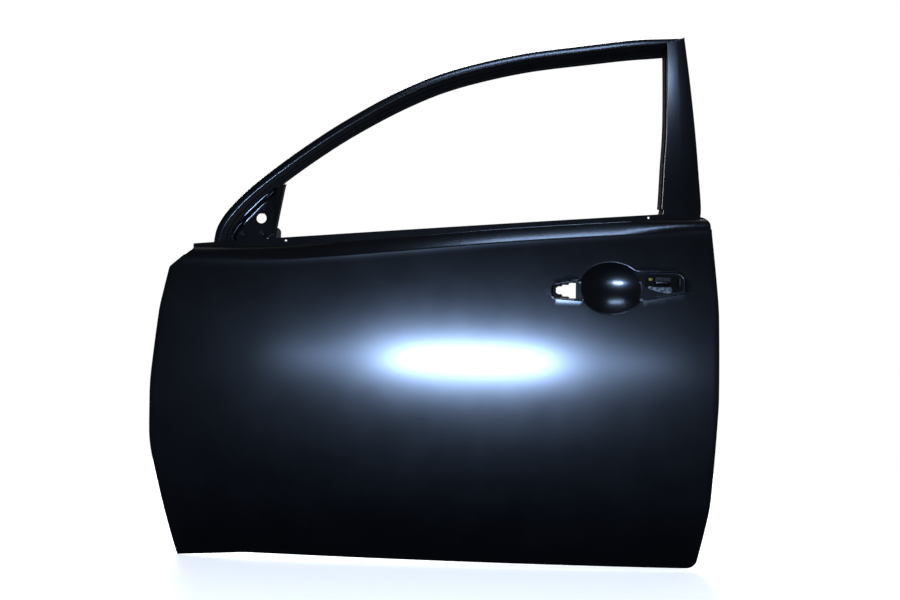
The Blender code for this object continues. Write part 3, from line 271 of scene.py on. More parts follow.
def loft(bm, rings, closed=False):
    """Faces between neighbouring rings or rows of points."""
    rows = [[bm.verts.new(p) for p in ring] for ring in rings]
    count = len(rings[0])
    for a, b in zip(rows, rows[1:]):
        for i in range(count if closed else count - 1):
            j = (i + 1) % count
            bm.faces.new((a[i], a[j], b[j], b[i]))


# Sheet edges and folds over 32 degrees stay crisp, and all gentler bends are smooth.
CRISP_FOLD, SAME_PLACE = math.radians(32), 0.00001
smoothing = bpy.data.node_groups.new("smooth_by_angle", "GeometryNodeTree")
smoothing.interface.new_socket("Geometry", in_out="INPUT", socket_type="NodeSocketGeometry")
smoothing.interface.new_socket("Geometry", in_out="OUTPUT", socket_type="NodeSocketGeometry")
entry = smoothing.nodes.new("NodeGroupInput")
merge = smoothing.nodes.new("GeometryNodeMergeByDistance")
merge.inputs["Distance"].default_value = SAME_PLACE
faces = smoothing.nodes.new("GeometryNodeSetShadeSmooth")
faces.domain = "FACE"
angle = smoothing.nodes.new("GeometryNodeInputMeshEdgeAngle")
bent = smoothing.nodes.new("FunctionNodeCompare")
bent.inputs[1].default_value = CRISP_FOLD
edges = smoothing.nodes.new("GeometryNodeSetShadeSmooth")
edges.domain = "EDGE"
edges.inputs["Shade Smooth"].default_value = False
leave = smoothing.nodes.new("NodeGroupOutput")
for source, target in ((entry.outputs[0], merge.inputs["Geometry"]),
                       (merge.outputs["Geometry"], faces.inputs["Geometry"]),
                       (faces.outputs["Geometry"], edges.inputs["Geometry"]),
                       (angle.outputs["Unsigned Angle"], bent.inputs[0]),
                       (bent.outputs["Result"], edges.inputs["Selection"]),
                       (edges.outputs["Geometry"], leave.inputs[0])):
    smoothing.links.new(source, target)


def piece_from(name, bm, finish, sheet=None, face=(0.0, -1.0, 0.0), replaces=()):
    """A finished piece: its surface faces the given way, with the sheet behind it."""
    bmesh.ops.remove_doubles(bm, verts=bm.verts, dist=2 * SAME_PLACE)
    bmesh.ops.recalc_face_normals(bm, faces=bm.faces)
    if face:
        total = sum((f.normal * f.calc_area() for f in bm.faces), Vector())
        if total.dot(Vector(face)) < 0:
            bmesh.ops.reverse_faces(bm, faces=bm.faces)
    mesh = bpy.data.meshes.new(name)
    bm.to_mesh(mesh)
    bm.free()
    mesh.materials.append(finish)
    piece = bpy.data.objects.new(name, mesh)
    bpy.context.scene.collection.objects.link(piece)
    piece.location = HUNG_AT
    if sheet:
        shell = piece.modifiers.new("sheet", "SOLIDIFY")
        shell.thickness = sheet
        shell.offset = -1.0
        shell.use_even_offset = True
    piece.modifiers.new("smooth", "NODES").node_group = smoothing
    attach(piece, "root")
    if replaces:
        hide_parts(*replaces)
    return piece


def srgb(code):
    """Linear colour of an sRGB hex code."""
    channels = [int(code[i:i + 2], 16) / 255 for i in (1, 3, 5)]
    return tuple(c / 12.92 if c <= 0.04045 else ((c + 0.055) / 1.055) ** 2.4 for c in channels) + (1.0,)


def new_finish(name, **sockets):
    """A material and its shader, with the uniform values set on the shader's own sockets."""
    material = bpy.data.materials.new(name)
    material.use_nodes = True
    shader = material.node_tree.nodes["Principled BSDF"]
    for socket, value in sockets.items():
        shader.inputs[socket.replace("_", " ")].default_value = value
    return material, shader


def add_node(material, kind, settings=None, inputs=None):
    """Adds a node, sets its properties, and sets or links its inputs."""
    node = material.node_tree.nodes.new(kind)
    for key, value in (settings or {}).items():
        setattr(node, key, value)
    for key, value in (inputs or {}).items():
        if isinstance(value, bpy.types.NodeSocket):
            material.node_tree.links.new(value, node.inputs[key])
        else:
            node.inputs[key].default_value = value
    return node


def link(material, source, target):
    material.node_tree.links.new(source, target)


def ramp(material, source, stops):
    """A colour ramp fed by a socket, from (place, grey or colour) stops."""
    node = add_node(material, "ShaderNodeValToRGB", inputs={"Fac": source})
    while len(node.color_ramp.elements) < len(stops):
        node.color_ramp.elements.new(0.5)
    for element, (place, value) in zip(node.color_ramp.elements, stops):
        element.position = place
        element.color = value if isinstance(value, tuple) else (value, value, value, 1.0)
    return node.outputs["Color"]


# Cathodic dip primer: a black epoxy coat about 20 microns thick on phosphated steel. It gives the
# eye a deep satin black with soft-edged reflections, a faint orange peel (waves of about 3 mm, at
# 330 to the metre), specks of dust, and duller patches about 110 mm wide where it was handled.
dip_primer, coat = new_finish("black_dip_primer", IOR=1.6, Specular_Tint=srgb("#D8E6FF"))
place = add_node(dip_primer, "ShaderNodeTexCoord").outputs["Object"]
haze = add_node(dip_primer, "ShaderNodeTexNoise",
                inputs={"Vector": place, "Scale": 9.0, "Detail": 5.0, "Roughness": 0.6})
dust = add_node(dip_primer, "ShaderNodeTexNoise",
                inputs={"Vector": place, "Scale": 900.0, "Detail": 2.0, "Roughness": 0.6})
black = ramp(dip_primer, haze.outputs["Fac"], [(0.3, srgb("#020203")), (0.7, srgb("#040405"))])
specks = ramp(dip_primer, dust.outputs["Fac"], [(0.70, 0.0), (0.76, 1.0)])
MIX_FROM, MIX_TO, MIXED = 6, 7, 2
dusted = add_node(dip_primer, "ShaderNodeMix", {"data_type": "RGBA"},
                  {"Factor": specks, MIX_FROM: black, MIX_TO: srgb("#16181A")})
link(dip_primer, dusted.outputs[MIXED], coat.inputs["Base Color"])
link(dip_primer, ramp(dip_primer, haze.outputs["Fac"], [(0.25, 0.205), (0.75, 0.235)]),
     coat.inputs["Roughness"])
peel = add_node(dip_primer, "ShaderNodeTexNoise",
                inputs={"Vector": place, "Scale": 330.0, "Detail": 1.0, "Roughness": 0.4})
grain = add_node(dip_primer, "ShaderNodeBump",
                 inputs={"Strength": 0.05, "Distance": 0.0002, "Height": peel.outputs["Fac"]})
link(dip_primer, grain.outputs["Normal"], coat.inputs["Normal"])


# Handle recess in the skin: a finger dish with a crisp rim, and a shallow pocket at each side of
# it for the pads of the handle, both pierced for the handle's feet. The press leaves a low bead
# round the pockets.
DISH_CENTRE, DISH_HALF, DISH_DEPTH = (0.342, 0.599), (0.0687, 0.0554), 0.024
RIM_ROLL, RIM_START, RIM_END = 0.035, 1.03, 1.09
DISH_GRID, DISH_REACH, DISH_INNER, POCKET_OUTER = 0.005, (14, 12), 0.91, 1.08
POCKET_DEPTH, POCKET_WALL, POCKET_FLOOR = 0.003, 0.0030, 0.0050
POCKET_GRID, POCKET_FIRST, POCKET_COUNT = 0.0025, (0.2025, 0.5685), (122, 30)
BEAD_RISE, BEAD_HALF = 0.0010, 0.0022
OPENING_STEP, OPENING_CLEAR = 0.004, 0.0012
FRONT_POCKET = ((0.215, 0.575, 0.011, 8), (0.300, 0.5700, 0.002, 1), (0.300, 0.6200, 0.002, 1),
                (0.215, 0.6020, 0.011, 8))
FRONT_OPENING = ((0.2190, 0.5790, 0.009, 8), (0.2665, 0.5740, 0.002, 3), (0.2665, 0.6115, 0.002, 3),
                 (0.2190, 0.6000, 0.009, 8))
REAR_POCKET = ((0.390, 0.5720, 0.002, 1), (0.5010, 0.5930, 0.006, 6), (0.5010, 0.6365, 0.022, 10),
               (0.390, 0.6365, 0.002, 1))
REAR_OPENING = ((0.4130, 0.6060, 0.002, 3), (0.4250, 0.5980, 0.004, 4), (0.4690, 0.5980, 0.001, 3),
                (0.4710, 0.5925, 0.002, 3), (0.4930, 0.5970, 0.003, 4), (0.4930, 0.6300, 0.010, 6),
                (0.4130, 0.6300, 0.003, 4))
RECESS_X, RECESS_Z = (0.20, 0.51), (0.53, 0.67)
pockets = [rounded(FRONT_POCKET), rounded(REAR_POCKET)]


def dish_reach(x, z):
    """How far out a place is in the dish, from 0 at its centre to 1 at its rim."""
    return math.hypot((x - DISH_CENTRE[0]) / DISH_HALF[0], (z - DISH_CENTRE[1]) / DISH_HALF[1])


def pressed_depth(x, z):
    """Depth of the skin with its handle recess."""
    depth = skin_depth(x, z)
    if not (RECESS_X[0] < x < RECESS_X[1] and RECESS_Z[0] < z < RECESS_Z[1]):
        return depth
    bowl = 1.0 - dish_reach(x, z) ** 2
    sink = DISH_DEPTH * (bowl + math.sqrt(bowl * bowl + RIM_ROLL ** 2)) / 2
    clear = along(dish_reach(x, z), RIM_START, RIM_END)
    for pocket in pockets:
        away = distance_to((x, z), pocket)
        if inside((x, z), pocket):
            sink = max(sink, POCKET_DEPTH * eased(along(away, 0.0, POCKET_WALL)))
        sink -= BEAD_RISE * clear * max(1 - (away / BEAD_HALF) ** 2, 0.0) ** 2
    return depth + sink


# Rows of points along the shoulder keep its highlights even, and the belt flange has two holes
# for the clips of the weatherstrip.
BELT_HOLES, BELT_HOLE_RADIUS, BELT_HOLE_CLEAR = ((-0.3575, 0.6840), (0.4235, 0.7535)), 0.0025, 0.0045
SHOULDER_ROWS = (0.052, 0.048, 0.0445, 0.041, 0.0375, 0.034, 0.0315, 0.030, 0.0275, 0.025, 0.022, 0.019,
                 0.016, 0.013, 0.0105, 0.008, 0.006, 0.004, 0.0025, 0.0012, 0.0, -0.001, -0.0025, -0.004)
ROW_START, ROW_LENGTH, ROW_STEPS, ROW_BREAK, EDGE_CLEAR = -0.600, 1.164, 155, 0.009, 0.0012
belt_holes = [circle(hole, BELT_HOLE_RADIUS, 16) for hole in BELT_HOLES]
edge = door_ring(HEM_RADIUS)
shoulder_rows = []
for drop in SHOULDER_ROWS:
    row = [(x, belt_fold(x) - drop)
           for x in (ROW_START + ROW_LENGTH * i / ROW_STEPS for i in range(ROW_STEPS + 1))]
    row = [spot for spot in row if inside(spot, edge) and distance_to(spot, edge) > EDGE_CLEAR
           and all(math.dist(spot, hole) > BELT_HOLE_CLEAR for hole in BELT_HOLES)]
    breaks = [0] + [i for i in range(1, len(row)) if row[i][0] - row[i - 1][0] > ROW_BREAK] + [len(row)]
    shoulder_rows += [row[a:b] for a, b in zip(breaks, breaks[1:]) if b - a > 1]

# Folds round the dish and the pockets, at shares of their size, and points on their floors.
RIM_SHARES, RIM_STEPS = (1.06, 1.035, 1.02, 1.01, 1.0, 0.99, 0.98, 0.965, 0.94), 96
WALL_SHARES = (-0.75, -0.55, -0.4, -0.25, -0.12, 0.0, 0.12, 0.25, 0.4, 0.55, 0.7, 0.85, 1.0, 1.25)
rim_loops = [[(DISH_CENTRE[0] + DISH_HALF[0] * share * math.cos(t),
               DISH_CENTRE[1] + DISH_HALF[1] * share * math.sin(t))
              for t in (math.tau * i / RIM_STEPS for i in range(RIM_STEPS))] for share in RIM_SHARES]
pocket_folds = []
for corners in (FRONT_POCKET, REAR_POCKET):
    for share in WALL_SHARES:
        fold = rounded(corners, [share * POCKET_WALL] * len(corners), POCKET_GRID)
        run = [p for p in fold if dish_reach(*p) > RIM_START]
        turn = max(range(len(run)), key=lambda i: math.dist(run[i], run[i - 1]))
        pocket_folds.append(run[turn:] + run[:turn])
dish_points = [(DISH_CENTRE[0] + DISH_GRID * i, DISH_CENTRE[1] + DISH_GRID * k)
               for i in range(-DISH_REACH[0], DISH_REACH[0] + 1)
               for k in range(-DISH_REACH[1], DISH_REACH[1] + 1)]
dish_points = [p for p in dish_points if dish_reach(*p) < DISH_INNER]
pocket_points = [(POCKET_FIRST[0] + POCKET_GRID * i, POCKET_FIRST[1] + POCKET_GRID * k)
                 for i in range(POCKET_COUNT[0]) for k in range(POCKET_COUNT[1])]
openings = [rounded(FRONT_OPENING), rounded(REAR_OPENING)]
dish_points += [p for p in pocket_points if dish_reach(*p) > POCKET_OUTER and any(
    inside(p, pocket) and distance_to(p, pocket) > POCKET_FLOOR for pocket in pockets)
    and all(distance_to(p, hole) > OPENING_CLEAR for hole in openings)]
bm = bmesh.new()
pierced = [rounded(hole, spacing=OPENING_STEP) for hole in (FRONT_OPENING, REAR_OPENING)]
pressing(bm, edge, pierced + belt_holes, pocket_folds + shoulder_rows, rim_loops, SKIN_GRID,
         pressed_depth, dish_points)

# Hem: the skin's edge is rolled through half a turn and laid flat behind.
HEM_STEPS, HEM_SKIP = 8, 6
hem_start, hem_end = ring_place(1) + HEM_SKIP, ring_place(BELT_SIDES[0])
hem = []
for k in range(HEM_STEPS + 1):
    angle = math.pi * k / HEM_STEPS
    ring = door_ring(HEM_RADIUS * (1 - math.sin(angle)))[hem_start:hem_end]
    hem.append([(x, skin_depth(x, z) + HEM_RADIUS * (1 - math.cos(angle)), z) for x, z in ring])
laid = door_ring(HEM_RETURN)[hem_start:hem_end]
hem.append([(x, skin_depth(x, z) + 2 * HEM_RADIUS, z) for x, z in laid])
loft(bm, hem)
piece_from("door_skin", bm, dip_primer, SKIN_SHEET, replaces=("outer_panel",))


# Window frame. A rolled steel header and a wider lock pillar of one section: an outer face, a lip
# that holds the weatherstrip, a stepped glass channel and a closed back. They are mitred at the
# upper rear corner and welded, and they run down inside the shell.
SASH_SHEET, SASH_DEPTH, LIP_DEPTH, LIP_HANG = 0.0010, 0.0335, 0.006, 0.0045
FRAME_HEIGHT, FRAME_DEPTH, FRAME_LEAN, FRAME_RADIUS = 0.720, 0.060, 0.2, 2.2
CHANNEL_DEPTH, CAVITY_FACE, CLEAR = 0.028, 0.1182, 0.0003
HEADER_FACE, HEADER_CLEAR, MITRE_GAP = 0.0155, 0.433, 0.0004
FOLD_RADIUS, FOLD_SHARE = 0.0014, 0.42
SPREAD_BELOW, SPREAD_SLOPE, BACK_FROM = 0.700, 0.12, 0.001
HEADER_EDGE = ((-0.516, 0.600), (-0.517, 0.682), (-0.505, 0.726), (-0.472, 0.771), (-0.425, 0.817),
               (-0.341, 0.886), (-0.243, 0.957), (-0.124, 1.030), (-0.011, 1.081),
               (0.141, 1.124), (0.295, 1.151), (0.417, 1.170), (0.520, 1.177))
HEADER_CHANNEL = (0.021, 0.021, 0.021, 0.021, 0.021, 0.0215, 0.0225, 0.025, 0.026, 0.0265, 0.0275,
                  0.029, 0.030)
PILLAR_EDGE = ((0.520, 1.177), (0.5265, 1.073), (0.5330, 0.955), (0.5370, 0.860), (0.5400, 0.772),
               (0.5315, 0.740), (0.5200, 0.700), (0.5120, 0.640))
PILLAR_FACE = (0.042, 0.0520, 0.064, 0.0765, 0.0860, 0.0785, 0.0680, 0.0620)
PILLAR_CHANNEL = 0.0055
SASH_SECTION = (
    (0.0, 0.0, 0.0, 0.0024), (0.0, 0.0, 0.0018, 0.0006), (0.5, 0.0, 0.0, 0.0),
    (1.0, 0.0, -0.0012, 0.0005), (1.0, 0.0, 0.0, 0.0017), (1.0, 0.0, 0.0, LIP_DEPTH),
    (1.0, 0.0, -LIP_HANG, LIP_DEPTH + 0.0006), (1.0, 0.0, -LIP_HANG, 0.019), (1.0, 0.30, 0.0, 0.0205),
    (1.0, 0.36, 0.0, 0.0240), (1.0, 0.66, 0.0, 0.0245), (1.0, 0.72, 0.0, CHANNEL_DEPTH - 0.0005),
    (1.0, 1.0, 0.0, CHANNEL_DEPTH), (1.0, 1.0, 0.0, CHANNEL_DEPTH + 0.003),
    (1.0, 0.3, 0.0, SASH_DEPTH), (0.0, 0.0, 0.007, SASH_DEPTH), (0.0, 0.0, 0.006, 0.0175),
    (0.0, 0.0, 0.0, 0.0160),
)


def frame_depth(x, z):
    """Depth of the window frame's outer face, which leans in with the side glass."""
    h = z - FRAME_HEIGHT
    return (FRAME_DEPTH + FRAME_LEAN * h + h * h / (2 * FRAME_RADIUS)
            + (x - PLAN_CENTRE) ** 2 / (2 * PLAN_RADIUS))


def sash_point(x, z, depth):
    """A point of the section in place. Below the belt its inner wall is spread out to its seat."""
    y = frame_depth(x, z) + depth
    if depth > CHANNEL_DEPTH + BACK_FROM:
        seat = CAVITY_FACE - CLEAR - max(z - SPREAD_BELOW, 0.0) * SPREAD_SLOPE
        y = max(y, seat - (SASH_DEPTH - depth))
    return (x, y, z)


def resample(points, per_span):
    """Points on a smooth line through the given ones, a number of steps to each span."""
    samples = []
    for i in range(len(points) - 1):
        a, b, c, d = points[max(i - 1, 0)], points[i], points[i + 1], points[min(i + 2, len(points) - 1)]
        for k in range(per_span):
            t = k / per_span
            samples.append(tuple(
                0.5 * (2 * q + (r - p) * t + (2 * p - 5 * q + 4 * r - s) * t * t
                       + (3 * q - p - 3 * r + s) * t ** 3)
                for p, q, r, s in zip(a, b, c, d)))
    samples.append(tuple(points[-1]))
    return samples


def softened(loop, radius):
    """A closed section with each corner rolled to a small radius."""
    soft = []
    for p, q, r in zip(loop[-1:] + loop[:-1], loop, loop[1:] + loop[:1]):
        before, after = Vector(p) - Vector(q), Vector(r) - Vector(q)
        a = Vector(q) + before * min(radius / before.length, FOLD_SHARE)
        b = Vector(q) + after * min(radius / after.length, FOLD_SHARE)
        soft += [tuple(a), tuple((a + b) / 4 + Vector(q) / 2), tuple(b)]
    return soft


def wall_loops(face, channel):
    """The section's outer and inner faces, as loops of reach from the edge and depth."""
    outer = softened([(a * face + b * channel + c, depth) for a, b, c, depth in SASH_SECTION],
                     FOLD_RADIUS)
    inner = []
    for p, q, r in zip(outer[-1:] + outer[:-1], outer, outer[1:] + outer[:1]):
        d, e = (Vector(q) - Vector(p)).normalized(), (Vector(r) - Vector(q)).normalized()
        m, n = Vector((-d.y, d.x)), Vector((-e.y, e.x))
        inner.append(tuple(Vector(q) + (m + n) * SASH_SHEET / (1 + m.dot(n))))
    return outer, inner


def sash_rings(stations):
    """The section's two loops at each station along a sash's outer edge."""
    rings = []
    for i, (x, z, face, channel) in enumerate(stations):
        before, after = stations[max(i - 1, 0)], stations[min(i + 1, len(stations) - 1)]
        d = (Vector(after[:2]) - Vector(before[:2])).normalized()
        rings.append([[sash_point(x + d.y * reach, z - d.x * reach, depth) for reach, depth in loop]
                      for loop in wall_loops(face, channel)])
    return rings


def mitre_rings(short):
    """Both faces of the section where the sashes meet, or short of it along the header."""
    corner_x, corner_z = PILLAR_EDGE[0]
    return [[sash_point(corner_x - a[0] - short, corner_z - b[0], b[1] if short else a[1])
             for a, b in zip(across, down)]
            for across, down in zip(wall_loops(PILLAR_FACE[0], PILLAR_CHANNEL),
                                    wall_loops(HEADER_FACE, HEADER_CHANNEL[-1]))]


# Painted shade: inside the glass channel, deep behind the lip, the coat has hardly any reflection, so
# that the channel stays dark as if in shade. It gives the eye a flat black, faintly clouded every 15 mm
# or so.
recess_shade_primer, recess_shade_coat = new_finish("dip_primer_painted_shade", Roughness=0.55, IOR=1.5,
                                       Specular_IOR_Level=0.04)
channel_place = add_node(recess_shade_primer, "ShaderNodeTexCoord").outputs["Object"]
runs = add_node(recess_shade_primer, "ShaderNodeTexNoise",
                inputs={"Vector": channel_place, "Scale": 60.0, "Detail": 3.0})
link(recess_shade_primer, ramp(recess_shade_primer, runs.outputs["Fac"],
                          [(0.3, srgb("#020203")), (0.7, srgb("#060607"))]),
     recess_shade_coat.inputs["Base Color"])
SHADE_FROM, SHADE_TO = LIP_DEPTH + 0.0015, CHANNEL_DEPTH + 0.002


def sash(name, rings, node):
    """One sash from its rings, with its glass channel in the coat that paints shade."""
    bm = bmesh.new()
    loft(bm, [ring[0] for ring in rings], closed=True)
    loft(bm, [ring[1] for ring in rings], closed=True)
    loft(bm, rings[0], closed=True)
    loft(bm, rings[-1], closed=True)
    piece = piece_from(name, bm, dip_primer, face=None, replaces=(node,))
    piece.data.materials.append(recess_shade_primer)
    # Faces deep in the glass channel take the coat that paints shade there.
    for face in piece.data.polygons:
        depth = face.center.y - frame_depth(face.center.x, face.center.z)
        if SHADE_FROM < depth < SHADE_TO:
            face.material_index = 1


HEADER_STEPS, PILLAR_STEPS = 10, 8
header_line = resample([(x, z, HEADER_FACE, c) for (x, z), c in zip(HEADER_EDGE, HEADER_CHANNEL)],
                       HEADER_STEPS)
pillar_line = resample([(x, z, f, PILLAR_CHANNEL) for (x, z), f in zip(PILLAR_EDGE, PILLAR_FACE)],
                       PILLAR_STEPS)
clear_rings = [pair for pair in sash_rings(header_line[:-1])
               if max(p[0] for p in pair[0]) < HEADER_CLEAR]
sash("window_header", clear_rings + [mitre_rings(MITRE_GAP)], "header_sash")
sash("lock_pillar", [mitre_rings(0.0)] + sash_rings(pillar_line)[1:], "pillar_sash")

# Weld at the mitre: a run of filler across the outer corner, ground nearly flush and primed.
WELD_COUNT, WELD_START, WELD_RUN = 9, 0.06, 0.88
WELD_RADIUS, WELD_STRETCH, WELD_SUNK = 0.0015, (1.9, 0.5, 0.9), 0.0004
bm = bmesh.new()
for k in range(WELD_COUNT):
    share = WELD_START + WELD_RUN * k / (WELD_COUNT - 1)
    x, z = PILLAR_EDGE[0][0] - PILLAR_FACE[0] * share, PILLAR_EDGE[0][1] - HEADER_FACE * share
    drop = bmesh.ops.create_uvsphere(bm, u_segments=12, v_segments=8, radius=WELD_RADIUS)
    bmesh.ops.scale(bm, vec=WELD_STRETCH, verts=drop["verts"])
    bmesh.ops.translate(bm, vec=(x, frame_depth(x, z) + WELD_SUNK, z), verts=drop["verts"])
piece_from("mitre_weld", bm, dip_primer, face=None)


# Sail plate. A 1 mm pressing that fills the front corner of the window and carries the outside
# mirror. It laps the header channel with a joggle, three ribs stiffen it beside the header, and
# it is pierced for the cable and three screws.
SAIL_SHEET, SAIL_DEPTH, SAIL_FRONT, SAIL_BACK = 0.001, 0.0137, -0.4835, -0.389
SAIL_BASE, SAIL_HEEL, SAIL_CORNER = 0.635, -0.4080, (-0.4060, 0.6860)
SAIL_OVERLAP, SAIL_LIP, SAIL_JOGGLE, SAIL_FOOT, SAIL_FOOT_RISE = 0.005, 0.001, 0.009, 0.672, 0.020
TAB_ROOT, TAB_TIP, TAB_SET, TAB_WIDE = -0.3925, (-0.3715, 0.8120), 0.0012, 0.004
TAB_LOW, TAB_HIGH, TAB_FOOT = 0.745, 0.760, (-0.3850, 0.768)
SAIL_RIBS = (((-0.3940, 0.7900), (-0.4640, 0.7140)),
             ((-0.3985, 0.7945), (-0.4720, 0.7150), (-0.4790, 0.7020)),
             ((-0.4030, 0.7985), (-0.4710, 0.7290)))
RIB_HALF, RIB_RISE, RIB_CREST = 0.0026, (0.0014, 0.0009, 0.0014), 0.0003
RIB_STEPS, RIB_ROWS = 20, (-1.0, -0.5, 0.0, 0.5, 1.0)
MIRROR_HOLE, MIRROR_HOLE_RADIUS = (-0.417, 0.733), 0.011
MIRROR_SCREWS = ((-0.4130, 0.7535), (-0.4560, 0.6970), (-0.4130, 0.6990))
SCREW_RADIUS, SCREW_SEAT, SCREW_SINK, SCREW_RING = 0.0033, 0.0075, 0.0007, 0.0076
LAP_SHARE, FOOT_SHARE, LINE_STEP, CUT_STEP = 1.3, 1.05, 0.0015, 0.001
SAIL_GRID, SAIL_BEVEL, FLAT_END, HEADER_NEAR = 0.0025, 0.014, -0.3790, -0.25
header_edge = [s[:2] for s in header_line]


def height_on(line, x):
    """Height of a line at a place along the door."""
    for (x0, z0), (x1, z1) in zip(line, line[1:]):
        if x0 <= x <= x1:
            return z0 + (z1 - z0) * (x - x0) / (x1 - x0)
    return line[0][1]


def beside_header(reach, low, high):
    """Line at a distance inwards from the header's outer edge, between two places along the door."""
    line = []
    for i in range(1, len(header_edge) - 1):
        x, z = header_edge[i]
        d = (Vector(header_edge[i + 1]) - Vector(header_edge[i - 1])).normalized()
        line.append((x + d.y * reach, z - d.x * reach))
    line = [p for i, p in enumerate(line) if i == 0 or p[0] > max(q[0] for q in line[:i])]
    kept = [p for p in line if low + LINE_STEP < p[0] < high - LINE_STEP]
    return [(low, height_on(line, low))] + kept + [(high, height_on(line, high))]


near_header = [p for p in header_edge if p[0] < HEADER_NEAR]


def sail_depth(x, z):
    """Depth of the sail plate: joggle to the header, tab, ribs, screw seats and foot."""
    reach = distance_to((x, z), near_header, False) - HEADER_FACE - HEADER_CHANNEL[0]
    tab = along(x, TAB_ROOT, TAB_ROOT + TAB_WIDE) * along(z, TAB_LOW, TAB_HIGH)
    lift = eased(along(reach, SAIL_JOGGLE, SAIL_LIP)) * (1 - tab)
    back = CHANNEL_DEPTH - 0.0005 - SAIL_SHEET * LAP_SHARE - CLEAR - SAIL_DEPTH
    depth = frame_depth(x, z) + SAIL_DEPTH + back * lift - TAB_SET * tab
    for rib, rise in zip(SAIL_RIBS, RIB_RISE):
        away = math.hypot(distance_to((x, z), rib, False), RIB_CREST)
        depth -= rise * max(1 - away / RIB_HALF, 0.0)
    for screw in MIRROR_SCREWS:
        depth += SCREW_SINK * max(1 - (math.dist((x, z), screw) / SCREW_SEAT) ** 4, 0.0)
    foot = eased(along(z, SAIL_FOOT, SAIL_FOOT - SAIL_FOOT_RISE))
    return depth + (CAVITY_FACE - CLEAR - SAIL_SHEET * FOOT_SHARE - depth) * foot


start = HEADER_FACE + HEADER_CHANNEL[0]
lap, joggle, flat = (beside_header(start + reach, SAIL_FRONT, end) for reach, end in
                     ((-SAIL_OVERLAP, TAB_ROOT), (SAIL_LIP, TAB_TIP[0]), (SAIL_JOGGLE, FLAT_END)))
sail_outline = [(SAIL_FRONT, SAIL_BASE), (SAIL_HEEL, SAIL_BASE), (SAIL_HEEL, SAIL_FOOT), SAIL_CORNER,
                (SAIL_BACK, SAIL_CORNER[1] + SAIL_BEVEL), (SAIL_BACK, TAB_LOW), TAB_FOOT]
sail_outline += [p for p in reversed(joggle) if p[0] > TAB_ROOT + CUT_STEP]
sail_outline += list(reversed(lap)) + [joggle[0], flat[0]]
joggle = [p for p in joggle if p[0] < TAB_ROOT - CUT_STEP]
rib_lines = []
for rib in SAIL_RIBS:
    across = (Vector(rib[1]) - Vector(rib[0])).normalized()
    for shift in RIB_ROWS:
        moved = [(x - across.y * shift * RIB_HALF, z + across.x * shift * RIB_HALF) for x, z in rib]
        rib_lines.append([tuple(Vector(a).lerp(Vector(b), k / RIB_STEPS))
                          for a, b in zip(moved, moved[1:]) for k in range(RIB_STEPS)] + [moved[-1]])
screw_rings = [circle(screw, SCREW_RING, 24) for screw in MIRROR_SCREWS]
screw_holes = [circle(screw, SCREW_RADIUS, 16) for screw in MIRROR_SCREWS]
bm = bmesh.new()
pressing(bm, sail_outline, [circle(MIRROR_HOLE, MIRROR_HOLE_RADIUS, 32)] + screw_holes,
         [joggle[1:], flat[1:-1]] + rib_lines, screw_rings, SAIL_GRID, sail_depth)
piece_from("sail_plate", bm, dip_primer, SAIL_SHEET, replaces=("mirror_bracket",))


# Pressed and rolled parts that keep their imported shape: inner panel, run channels, belt strips,
# reinforcements, impact tube and its saddles. All go through the same dip as the skin.
def finish_node(node, finish):
    """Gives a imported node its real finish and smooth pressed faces."""
    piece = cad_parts[node]
    piece.data.materials.clear()
    piece.data.materials.append(finish)
    piece.modifiers.new("smooth", "NODES").node_group = smoothing


for node in ("inner_panel", "front_run_channel", "rear_run_channel", "front_run_bracket",
             "rear_run_bracket", "mirror_reinforcement", "belt_reinforcement_outer",
             "belt_reinforcement_inner", "impact_beam", "beam_bracket_front", "beam_bracket_rear",
             "hinge_reinforcement_upper", "hinge_reinforcement_lower", "check_reinforcement",
             "latch_reinforcement", "panel_stiffener"):
    finish_node(node, dip_primer)

# The plate behind the handle recess lies in the shadow of the skin; its dull coat is painted shade.
finish_node("handle_reinforcement", recess_shade_primer)


# Weld nuts of the hinges. Turned steel, zinc-plated and passivated: the eye sees a pale grey metal
# with a faint yellow cast, dull and mottled every 2 to 3 mm where the plating bath left it.
zinc, plating = new_finish("passivated_zinc_plate", Metallic=1.0)
zinc_place = add_node(zinc, "ShaderNodeTexCoord").outputs["Object"]
mottle = add_node(zinc, "ShaderNodeTexNoise",
                  inputs={"Vector": zinc_place, "Scale": 400.0, "Detail": 4.0})
link(zinc, ramp(zinc, mottle.outputs["Fac"], [(0.35, srgb("#8E8A74")), (0.65, srgb("#A9A796"))]),
     plating.inputs["Base Color"])
link(zinc, ramp(zinc, mottle.outputs["Fac"], [(0.3, 0.34), (0.7, 0.52)]), plating.inputs["Roughness"])
for node in ("hinge_nut_upper_1", "hinge_nut_upper_2", "hinge_nut_lower_1", "hinge_nut_lower_2"):
    finish_node(node, zinc)


# Lock bracket behind the rear handle opening and the mirror's weld nuts. Pressed and turned steel
# with black-passivated zinc, which gives the eye a dark metal with soft, clouded reflections.
black_zinc, sheen = new_finish("black_passivated_zinc", Metallic=1.0)
black_place = add_node(black_zinc, "ShaderNodeTexCoord").outputs["Object"]
clouds = add_node(black_zinc, "ShaderNodeTexNoise",
                  inputs={"Vector": black_place, "Scale": 250.0, "Detail": 3.0})
link(black_zinc, ramp(black_zinc, clouds.outputs["Fac"],
                      [(0.35, srgb("#17181A")), (0.65, srgb("#222326"))]), sheen.inputs["Base Color"])
link(black_zinc, ramp(black_zinc, clouds.outputs["Fac"], [(0.3, 0.30), (0.7, 0.42)]),
     sheen.inputs["Roughness"])
for node in ("lock_bracket", "mirror_nut_1", "mirror_nut_2", "mirror_nut_3"):
    finish_node(node, black_zinc)
